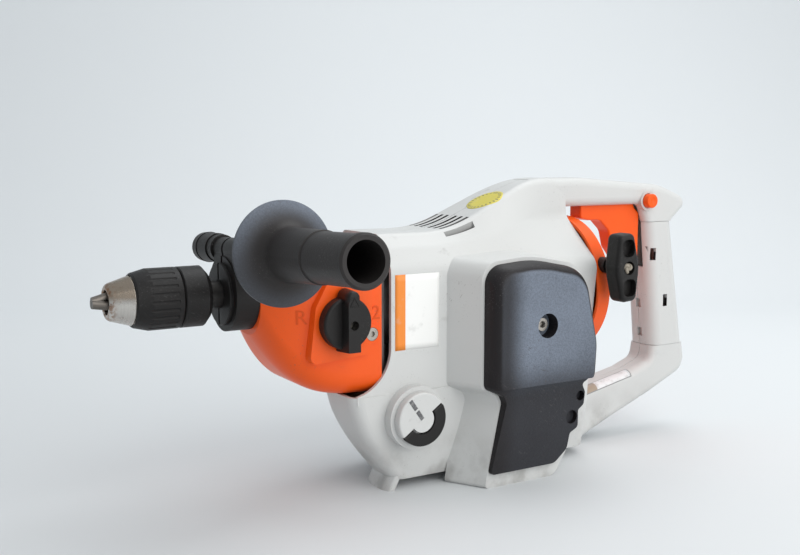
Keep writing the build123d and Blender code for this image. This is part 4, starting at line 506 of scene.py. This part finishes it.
def grid_object(name, points, around=False, capped=False, ring=False, uv=None):
    """Mesh of quads over points[i, j]: j closes on itself if around, i too if ring, and both end rows are
    closed if capped. A closed mesh is turned inside out where its signed volume sum(a . (b x c)) / 6 is
    negative."""
    rows, columns = points.shape[:2]
    index = np.arange(rows * columns).reshape(rows, columns)
    if around:
        index = np.concatenate([index, index[:, :1]], axis=1)
    if ring:
        index = np.concatenate([index, index[:1]], axis=0)
    corners = [index[:-1, :-1], index[:-1, 1:], index[1:, 1:], index[1:, :-1]]
    quads = np.stack(corners, axis=-1).reshape(-1, 4)
    faces = quads.tolist()
    if capped:
        faces += [index[0, :columns][::-1].tolist(), index[-1, :columns].tolist()]
    flat = points.reshape(-1, 3)
    if capped or ring:
        first, second, third, fourth = (flat[quads[:, k]] - flat.mean(axis=0) for k in range(4))
        volume = np.sum(first * (np.cross(second, third) + np.cross(third, fourth)))
        faces = [face[::-1] for face in faces] if volume < 0 else faces
    mesh = bpy.data.meshes.new(name)
    mesh.from_pydata(flat.tolist(), [], faces)
    if uv is not None:
        layer = mesh.uv_layers.new(name="UVMap")
        loops = np.zeros(len(mesh.loops), np.int32)
        mesh.loops.foreach_get("vertex_index", loops)
        layer.data.foreach_set("uv", uv.reshape(-1, 2)[loops].astype(np.float32).ravel())
    mesh.validate()
    mesh.polygons.foreach_set("use_smooth", np.ones(len(mesh.polygons), bool))
    piece = bpy.data.objects.new(name, mesh)
    bpy.context.scene.collection.objects.link(piece)
    return piece


def node_surface(*names):
    """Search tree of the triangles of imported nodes."""
    points, faces = [], []
    for name in names:
        mesh = nodes[name].data
        faces += [[len(points) + corner for corner in p.vertices] for p in mesh.polygons]
        points += [v.co for v in mesh.vertices]
    return BVHTree.FromPolygons(points, faces)


def dropped(surface, points, direction, lift):
    """Points carried along direction onto a surface and lifted off it against that direction."""
    way = Vector(direction).normalized()
    result = np.empty_like(points)
    for key in np.ndindex(points.shape[:-1]):
        start = Vector(points[key])
        hit = surface.ray_cast(start, way)[0]
        if hit is None:
            raise RuntimeError(f"no surface under {tuple(points[key])}")
        result[key] = np.array(hit - way * lift)
    return result


def dressed(piece, body, material):
    """Gives a new piece its finish and body."""
    piece.data.materials.clear()
    piece.data.materials.append(material)
    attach(piece, body)
    return piece


def paint(material, names):
    """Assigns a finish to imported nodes."""
    for name in names:
        slots = nodes[name].data.materials
        slots.clear()
        slots.append(material)


# Operators

class DRILL_OT_white_mouldings(bpy.types.Operator):
    """Finishes the white housing, grip and cap."""

    bl_idname = "drill.white_mouldings"
    bl_label = "White mouldings"

    def execute(self, context):
        paint(white_finish(),
              ["housing_left", "housing_right", "rear_grip_left", "rear_grip_right", "fuel_cap"])
        return {"FINISHED"}


class DRILL_OT_orange_pieces(bpy.types.Operator):
    """Finishes the gear casting, trigger, lock button and starter cover."""

    bl_idname = "drill.orange_pieces"
    bl_label = "Orange pieces"

    def execute(self, context):
        paint(orange_finish("orange_casting", 0.15), ["gear_housing"])
        paint(orange_finish("orange_moulding"), ["throttle_trigger", "throttle_lock_button", "starter_cover"])
        return {"FINISHED"}


class DRILL_OT_dark_mouldings(bpy.types.Operator):
    """Finishes the black, slate and rubber pieces."""

    bl_idname = "drill.dark_mouldings"
    bl_label = "Dark mouldings"

    def execute(self, context):
        paint(black_finish("black_moulding"),
              ["chuck_front_sleeve", "chuck_rear_sleeve", "neck_cap", "handle_clamp", "clamp_knob",
               "selector_knob", "ignition_module", "fuel_cap_bail", "starter_pulley", "rope_guide",
               "starter_grip"])
        # The slate cover gets a painted reflection on its flat face.
        slate = grained_finish("slate_cover", looks().colours.slate, grain_scale=800.0, grain_depth=0.3,
                               rub=0.45, roughness=0.42, shine=0.25, highlight_mask=cover_painted_reflection)
        paint(slate, ["filter_cover"])
        # The guard of the side handle gets a painted sheen.
        paint(rubber_finish("handle_rubber", guard_painted_sheen), ["side_handle"])
        paint(rubber_finish("boot_rubber"), ["spark_plug_boot"])
        return {"FINISHED"}


class DRILL_OT_metal_pieces(bpy.types.Operator):
    """Finishes chuck steel, shafts, gears, castings and sheet metal."""

    bl_idname = "drill.metal_pieces"
    bl_label = "Metal pieces"

    def execute(self, context):
        colours = looks().colours
        paint(bare_metal_finish("jaw_steel", colours.jaw, metallic=1.0, roughness=0.34, pit_scale=600.0),
              ["chuck_jaw_1", "chuck_jaw_2", "chuck_jaw_3"])
        paint(turned_steel_finish("turned_steel", colours.steel),
              ["chuck_body", "chuck_nut", "shaft_bearings", "clamp_bolt", "gear_housing_screws",
               "sliding_gear", "countershaft", "reverse_idler", "idler_pin", "input_shaft",
               "selector_screw", "selector_shaft", "clutch_drum", "clutch_carrier", "crankshaft",
               "spark_plug", "filter_cover_screw", "housing_screws", "trigger_pin"])
        grey = bare_metal_finish(
            "grey_casting", colours.casting, metallic=0.9, roughness=0.45, pit_scale=900.0)
        paint(grey, ["bearing_plate", "clutch_housing", "crankcase", "cylinder", "carburettor"])
        paint(bare_metal_finish("iron", colours.iron, metallic=0.8, roughness=0.5, pit_scale=700.0),
              ["clutch_shoes", "flywheel"])
        dark = bare_metal_finish(
            "blackened_steel", colours.blackened, metallic=0.9, roughness=0.42, pit_scale=800.0)
        paint(dark, ["spindle", "shift_fork", "recoil_spring"])
        paint(bare_metal_finish("black_sheet", colours.black, metallic=0.3, roughness=0.55, pit_scale=600.0),
              ["muffler", "muffler_guard"])
        return {"FINISHED"}


class DRILL_OT_chuck_nose(bpy.types.Operator):
    """Carries the chuck's steel nose forward as a ring around the jaws."""

    bl_idname = "drill.chuck_nose"
    bl_label = "Chuck nose"

    def execute(self, context):
        section = NOSE_BORE + NOSE_RIM + NOSE_CONE
        piece = grid_object("chuck_nose", self.turned(section), around=True, ring=True)
        finish = turned_steel_finish("nose_steel", looks().colours.nose, level=0.15, tarnish=0.7)
        dressed(piece, "spindle", finish)
        return {"FINISHED"}

    @staticmethod
    def turned(section):
        """Closed section of (x, r) in millimetres turned about the drill axis: (x, r cos a, r sin a)."""
        x, r = np.array(section).T[:, :, None] / 1000
        angle = np.linspace(0, 2 * math.pi, 97)[:-1]
        return np.stack(np.broadcast_arrays(x, r * np.cos(angle), r * np.sin(angle)), axis=-1)


class DRILL_OT_inner_pieces(bpy.types.Operator):
    """Finishes the tank and the filter."""

    bl_idname = "drill.inner_pieces"
    bl_label = "Tank and filter"

    def execute(self, context):
        tank = Finish("tank_moulding")
        haze = tank.noise(45, 4.0)
        base = looks().colours.tank
        tone = tank.mix(base, tuple(c * 0.85 for c in base), haze)
        paint(tank.done(tone, 0.35 + haze * 0.15), ["fuel_tank"])
        paint(felt_finish(), ["air_filter"])
        return {"FINISHED"}


class DRILL_OT_starter_rope(bpy.types.Operator):
    """Twists the starter rope from the pulley to its knot in the grip."""

    bl_idname = "drill.starter_rope"
    bl_label = "Starter rope"

    def execute(self, context):
        sizes = looks().sizes
        low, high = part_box("starter_rope")
        x, z = (low.x + high.x) / 2, (low.z + high.z) / 2
        strand = ROPE_RADIUS * STRAND_SHARE
        orbit = ROPE_RADIUS - strand
        finish = rope_finish()
        along = np.linspace(high.y, low.y + 0.004, 97)
        around = np.linspace(0, 2 * math.pi, 9)[:-1]
        for number in range(sizes.rope_strands):
            phase = 2 * math.pi * number / sizes.rope_strands
            points = self.strand(along, around, x, z, orbit, strand, phase, sizes.rope_lay)
            piece = grid_object(f"starter_rope_strand_{number + 1}", points, around=True, capped=True)
            piece.data.materials.append(finish)
            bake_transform(piece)
            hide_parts("starter_rope")
        knot = grid_object("starter_rope_knot", self.knot(x, low.y + 0.0032, z), around=True, capped=True)
        dressed(knot, "starter_grip", finish)
        return {"FINISHED"}

    @staticmethod
    def strand(along, around, x, z, orbit, radius, phase, lay):
        """Tube whose centre orbits the rope's axis: angle = phase + 2 pi y / lay."""
        turn = phase + 2 * math.pi * along / lay
        centre = np.stack([x + orbit * np.cos(turn), along, z + orbit * np.sin(turn)], axis=-1)
        ring = np.stack([np.cos(around), np.zeros_like(around), np.sin(around)], axis=-1) * radius
        return centre[:, None, :] + ring[None, :, :]

    @staticmethod
    def knot(x, y, z):
        """Overhand knot as a tube around a trefoil: (sin t + 2 sin 2t, -0.9 sin 3t, cos t - 2 cos 2t)."""
        t = np.linspace(0, 2 * math.pi, 73)
        trefoil = [np.sin(t) + 2 * np.sin(2 * t), -0.9 * np.sin(3 * t), np.cos(t) - 2 * np.cos(2 * t)]
        path = np.stack(trefoil, axis=-1) * KNOT_SCALE
        tangent = np.gradient(path, axis=0)
        tangent /= np.linalg.norm(tangent, axis=1)[:, None]
        side = np.cross(tangent, np.array([0.0, 1.0, 0.0]))
        side /= np.linalg.norm(side, axis=1)[:, None]
        up = np.cross(side, tangent)
        around = np.linspace(0, 2 * math.pi, 11)[:-1]
        ring = (np.cos(around)[None, :, None] * side[:, None, :]
                + np.sin(around)[None, :, None] * up[:, None, :])
        return path[:, None, :] + ring * KNOT_RADIUS + np.array([x, y, z])


class DRILL_OT_selector_marks(bpy.types.Operator):
    """Raises the plain gear marks beside the selector knob on the casting."""

    bl_idname = "drill.selector_marks"
    bl_label = "Selector marks"

    def execute(self, context):
        sizes = looks().sizes
        surface = node_surface("gear_housing")
        low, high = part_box("selector_knob")
        centre = ((low.x + high.x) / 2, (low.z + high.z) / 2)
        reach = (high.x - low.x) / 2
        # The marks are the casting's orange darkened as painted shade, which stands in for the shade on their
        # raised edges.
        finish = orange_finish("orange_mark", depth=0.78)
        away = reach + sizes.mark_height * 0.95
        for mark, angle in SELECTOR_MARKS:
            x = centre[0] + away * math.cos(math.radians(angle))
            z = centre[1] + away * math.sin(math.radians(angle))
            piece = self.raised(mark, x, z, surface, sizes.mark_height, sizes.mark_relief)
            dressed(piece, "housing", finish)
        return {"FINISHED"}

    @staticmethod
    def raised(mark, x, z, surface, height, relief):
        """Mark cut from a font's outline, laid on the casting and given thickness."""
        curve = bpy.data.curves.new(f"selector_mark_{mark}", "FONT")
        curve.body = mark
        curve.size = height * 1.4
        curve.align_x = "CENTER"
        curve.align_y = "CENTER"
        curve.extrude = 0.5
        text = bpy.data.objects.new(curve.name + "_text", curve)
        bpy.context.scene.collection.objects.link(text)
        shaped = text.evaluated_get(bpy.context.evaluated_depsgraph_get())
        mesh = bpy.data.meshes.new_from_object(shaped)
        bpy.data.objects.remove(text)
        flat = np.zeros(len(mesh.vertices) * 3)
        mesh.vertices.foreach_get("co", flat)
        flat = flat.reshape(-1, 3)
        seeds = np.stack([x + flat[:, 0], np.full(len(flat), CLEAR_LEFT), z + flat[:, 1]], axis=-1)
        proud = dropped(surface, seeds, INWARD, relief)
        sunk = dropped(surface, seeds, INWARD, -0.001)
        front = flat[:, 2] > 0
        placed = np.where(front[:, None], proud, sunk)
        mesh.vertices.foreach_set("co", placed.ravel())
        mesh.update()
        piece = bpy.data.objects.new(curve.name, mesh)
        bpy.context.scene.collection.objects.link(piece)
        return piece


class DRILL_OT_pointer(bpy.types.Operator):
    """Adds the rounded nose and the raised triangle at the upper end of the selector's pointer bar."""

    bl_idname = "drill.pointer"
    bl_label = "Selector pointer"

    def execute(self, context):
        sizes = looks().sizes
        low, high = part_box("selector_knob")
        place = np.array([(low.x + high.x) / 2, low.y, (low.z + high.z) / 2])
        finish = black_finish("pointer_moulding")
        nose = self.nose(place, high.y - low.y, sizes.nose_half_width, sizes.nose_reach)
        above = np.array([0, 0, sizes.nose_reach * 0.62])
        triangle = self.triangle(place + above, sizes.nose_half_width * 0.7)
        for piece in (nose, triangle):
            dressed(piece, "selector", finish)
        return {"FINISHED"}

    @staticmethod
    def nose(place, height, half, reach):
        """Outline (w cos a, c + w sin a) with a foot at reach / 2, drawn in by an inset from base to face."""
        angle = np.linspace(0, math.pi, 25)
        levels = ((height * 0.85, 0.0), (height * 0.10, 0.15), (0.0003, 0.30), (0.0001, 0.45))
        rings = []
        for depth, inset in levels:
            width = half * (1 - inset)
            x = np.concatenate([width * np.cos(angle), [-width, width]])
            z = np.concatenate([reach - half + width * np.sin(angle), [reach / 2, reach / 2]])
            rings.append(np.stack([x, np.full_like(x, depth), z], axis=-1))
        return grid_object("selector_nose", place + np.array(rings), around=True, capped=True)

    @staticmethod
    def triangle(place, radius):
        """Round bead along r = R / (2 cos(t - 60 degrees)), with t the angle within each third of a turn."""
        turn = np.linspace(0, 2 * math.pi, 61)[:-1]
        path = radius * 0.5 / np.cos(turn % (2 * math.pi / 3) - math.pi / 3)
        bead = np.linspace(0, 2 * math.pi, 9)[:-1]
        thick = radius * 0.09
        reach = path[:, None] + thick * np.cos(bead)
        x = reach * np.sin(turn)[:, None]
        z = reach * np.cos(turn)[:, None]
        y = np.broadcast_to(thick * np.sin(bead), x.shape)
        points = place + np.stack([x, y, z], axis=-1)
        return grid_object("selector_triangle", points, around=True, ring=True)


class DRILL_OT_labels(bpy.types.Operator):
    """Lays the blank side label, the blank yellow disc and the blank plate with its tan patch."""

    bl_idname = "drill.labels"
    bl_label = "Blank labels"

    def execute(self, context):
        sizes = looks().sizes
        left = node_surface("housing_left")
        across, up = (sizes.label_width, 0, 0), (0, 0, sizes.label_height)
        label = self.patch("side_label", left, LABEL_CORNER, across, up, INWARD)
        dressed(label, "housing", label_finish())
        shell = node_surface("housing_left", "housing_right")
        disc = self.disc("yellow_disc", shell, DISC_CENTRE, DISC_DROP, sizes.disc_radius)
        dressed(disc, "housing", disc_finish())
        plate = self.patch("bar_plate", left, PLATE_CORNER, PLATE_ACROSS, PLATE_UP, PLATE_DROP)
        dressed(plate, "housing", plate_finish())
        return {"FINISHED"}

    @staticmethod
    def patch(name, surface, corner, across, up, drop):
        """Closed film over corner + u across + v up, carried along drop onto a surface."""
        u, v = np.meshgrid(np.linspace(0, 1, 13), np.linspace(0, 1, 13), indexing="ij")
        seeds = np.array(corner) + u[..., None] * np.array(across) + v[..., None] * np.array(up)
        film = looks().sizes.film
        top = dropped(surface, seeds, drop, film)
        under = dropped(surface, seeds, drop, -2 * film)
        uv = np.stack([u, v], axis=-1)
        points = np.concatenate([top, under[:, ::-1]], axis=1)
        uv = np.concatenate([uv, uv[:, ::-1]], axis=1)
        return grid_object(name, points, around=True, capped=True, uv=uv)

    @staticmethod
    def disc(name, surface, centre, drop, radius):
        """Closed round film: r (cos a, sin a) in the plane across drop, carried along drop onto a surface and
        kept off the seam of the halves at y = 0."""
        way = Vector(drop).normalized()
        side = way.cross(Vector((0, 1, 0))).normalized()
        other = way.cross(side)
        shares, turns = np.linspace(0.04, 1, 13), np.linspace(0, 2 * math.pi, 49)[:-1]
        share, angle = np.meshgrid(shares, turns, indexing="ij")
        seeds = (np.array(centre) - 2 * radius * np.array(way)
                 + (radius * share * np.cos(angle))[..., None] * np.array(side)
                 + (radius * share * np.sin(angle))[..., None] * np.array(other))
        sizes = looks().sizes
        film = sizes.film
        near = seeds[..., 1] + 2 * radius * way.y
        seam = np.abs(near) < sizes.seam
        seeds[..., 1] += np.where(seam, np.copysign(sizes.seam, near) - near, 0.0)
        top = dropped(surface, seeds, drop, film)
        under = dropped(surface, seeds, drop, -2 * film)
        uv = np.stack([angle / (2 * math.pi), share], axis=-1)
        points = np.concatenate([top, under[::-1]])
        return grid_object(name, points, around=True, capped=True, uv=np.concatenate([uv, uv[::-1]]))


class DRILL_OT_cap_marks(bpy.types.Operator):
    """Prints the two plain grey bars on the fuel cap that show how far it is turned."""

    bl_idname = "drill.cap_marks"
    bl_label = "Cap marks"

    def execute(self, context):
        sizes = looks().sizes
        surface = node_surface("fuel_cap")
        low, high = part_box("fuel_cap")
        centre = np.array([(low.x + high.x) / 2, low.y - 0.05, (low.z + high.z) / 2])
        lean = math.radians(CAP_LEAN)
        out = np.array([-math.sin(lean), 0, math.cos(lean)])
        side = np.array([math.cos(lean), 0, math.sin(lean)])
        reach = (high.x - low.x) / 2
        across = side * sizes.cap_mark_width
        for number, (near, far) in enumerate(CAP_BARS):
            corner = centre + out * reach * near - across / 2
            along = out * reach * (far - near)
            bar = DRILL_OT_labels.patch(f"cap_mark_{number + 1}", surface, corner, across, along, INWARD)
            dressed(bar, "fuel_cap", mark_finish())
        return {"FINISHED"}


class DRILL_OT_star_sockets(bpy.types.Operator):
    """Sets a six-lobed ring in the round socket of the cover screw."""

    bl_idname = "drill.star_sockets"
    bl_label = "Star socket"

    def execute(self, context):
        low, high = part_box("filter_cover_screw")
        place = ((low.x + high.x) / 2, low.y + 0.0004, (low.z + high.z) / 2)
        radius = (high.x - low.x) * 0.275
        self.star("cover_screw_star", place, radius, depth=0.0018, finish=socket_finish())
        return {"FINISHED"}

    @staticmethod
    def star(name, place, radius, depth, finish):
        """Ring between a circle and the star r = 0.8 R (1 + 0.16 cos 6a), carried along Y over its depth."""
        angle = np.linspace(0, 2 * math.pi, 73)[:-1]
        star = 0.80 * radius * (1 + 0.16 * np.cos(6 * angle))
        outer = np.full_like(angle, radius * 1.04)
        x, y, z = place
        lines = []
        for r, d in ((star, 0.0), (outer, 0.0), (outer, depth), (star, depth)):
            line = [x + r * np.cos(angle), np.full_like(angle, y + d), z + r * np.sin(angle)]
            lines.append(np.stack(line, axis=-1))
        points = np.stack(lines, axis=1)
        dressed(grid_object(name, points, around=True, ring=True), "housing", finish)


class DRILL_OT_stage(bpy.types.Operator):
    """Builds the pale sweep, the soft lights and the camera."""

    bl_idname = "drill.stage"
    bl_label = "Stage"

    def execute(self, context):
        turn, tilt = math.radians(CAMERA_TURN), math.radians(CAMERA_TILT)
        right = Vector((math.cos(turn), -math.sin(turn), 0))
        ahead = Vector((math.sin(turn), math.cos(turn), 0))
        view = ahead * math.cos(tilt) + Vector((0, 0, -math.sin(tilt)))
        up = right.cross(view)
        eye = Vector(CAMERA_TARGET) + right * CAMERA_RIGHT + up * CAMERA_UP - view * CAMERA_DISTANCE
        camera_data = bpy.data.cameras.new("camera")
        camera_data.lens = looks().sizes.lens
        camera_data.sensor_width = 36.0
        camera_data.sensor_fit = "HORIZONTAL"
        camera = bpy.data.objects.new("camera", camera_data)
        camera.matrix_world = Matrix([(*row, 0) for row in (right, up, -view)] + [(*eye, 1)]).transposed()
        context.scene.collection.objects.link(camera)
        context.scene.camera = camera
        self.sweep(right, ahead, cad_box[0][2])
        middle = Vector(LIGHT_TARGET)
        beside = eye + right * 0.85 + up * 0.50
        self.light("key", beside, middle, size=1.6, power=14.3, colour=(1.0, 0.985, 0.965))
        self.light("top", Vector(TOP_LIGHT), middle, size=1.1, power=9.0, colour=(0.97, 0.99, 1.0))
        world = bpy.data.worlds.new("studio")
        world.use_nodes = True
        sky = world.node_tree.nodes["Background"]
        sky.inputs["Color"].default_value = SKY_COLOUR
        sky.inputs["Strength"].default_value = SKY_STRENGTH
        context.scene.world = world
        context.scene.view_settings.view_transform = "Standard"
        return {"FINISHED"}

    @staticmethod
    def sweep(right, ahead, level):
        """Paper sweep: flat floor, then a quarter round of radius r, then an upright wall. Its paper is
        painted darker towards the front as painted shade.
        """
        near, far, radius, wall = -1.5, 1.0, 0.7, 1.8
        arc = np.linspace(0, math.pi / 2, 25)
        profile = [(near, 0.0), (far, 0.0)]
        profile += [(far + radius * math.sin(a), radius * (1 - math.cos(a))) for a in arc[1:]]
        profile += [(far + radius, radius + wall)]
        across = np.linspace(-3.0, 3.0, 3)
        points = np.array([[[*(right * s + ahead * d)[:2], level + h] for s in across] for d, h in profile])
        floor = grid_object("studio_sweep", points)
        finish = Finish("studio_paper")
        tone = finish.noise(3, 3.0)
        depth = finish.axis("X") * ahead.x + finish.axis("Y") * ahead.y
        base = looks().colours.floor
        # Painted shade: the paper is darkened to 0.77 of its colour at the front, brightening with depth.
        colour = finish.mix(tuple(c * 0.77 for c in base), base, depth.step(-0.2, 1.3) - tone * 0.02)
        floor.data.materials.append(finish.done(colour, 0.7 + tone * 0.05))

    @staticmethod
    def light(name, place, target, size, power, colour):
        """Square soft box that faces its target."""
        data = bpy.data.lights.new(name, "AREA")
        data.size = size
        data.energy = power
        data.color = colour
        lamp = bpy.data.objects.new(name, data)
        aim = (target - place).to_track_quat("-Z", "Y")
        lamp.matrix_world = Matrix.Translation(place) @ aim.to_matrix().to_4x4()
        bpy.context.scene.collection.objects.link(lamp)


class DRILL_PT_looks(bpy.types.Panel):
    """Lists the operators and the settings in the sidebar."""

    bl_idname = "DRILL_PT_looks"
    bl_label = "Drill looks"
    bl_space_type = "VIEW_3D"
    bl_region_type = "UI"
    bl_category = "Drill"

    def draw(self, context):
        for operator in operators:
            self.layout.operator(operator.bl_idname)
        for group in (looks().colours, looks().sizes):
            for name in group.__annotations__:
                self.layout.prop(group, name)


operators = (
    DRILL_OT_white_mouldings,
    DRILL_OT_orange_pieces,
    DRILL_OT_dark_mouldings,
    DRILL_OT_metal_pieces,
    DRILL_OT_chuck_nose,
    DRILL_OT_inner_pieces,
    DRILL_OT_starter_rope,
    DRILL_OT_selector_marks,
    DRILL_OT_pointer,
    DRILL_OT_labels,
    DRILL_OT_cap_marks,
    DRILL_OT_star_sockets,
    DRILL_OT_stage,
)
classes = (DrillColours, DrillSizes, DrillLooks, *operators, DRILL_PT_looks)


def register():
    """Registers the classes and the scene's settings."""
    for cls in classes:
        bpy.utils.register_class(cls)
    bpy.types.Scene.drill_looks = PointerProperty(
        type=DrillLooks, name="Drill looks", description="Looks of the drill")


def unregister():
    """Removes what register added."""
    del bpy.types.Scene.drill_looks
    for cls in reversed(classes):
        bpy.utils.unregister_class(cls)


def main():
    """Builds the looks in order."""
    register()
    for operator in operators:
        group, name = operator.bl_idname.split(".")
        getattr(getattr(bpy.ops, group), name)()


if __name__ == "__main__":
    main()
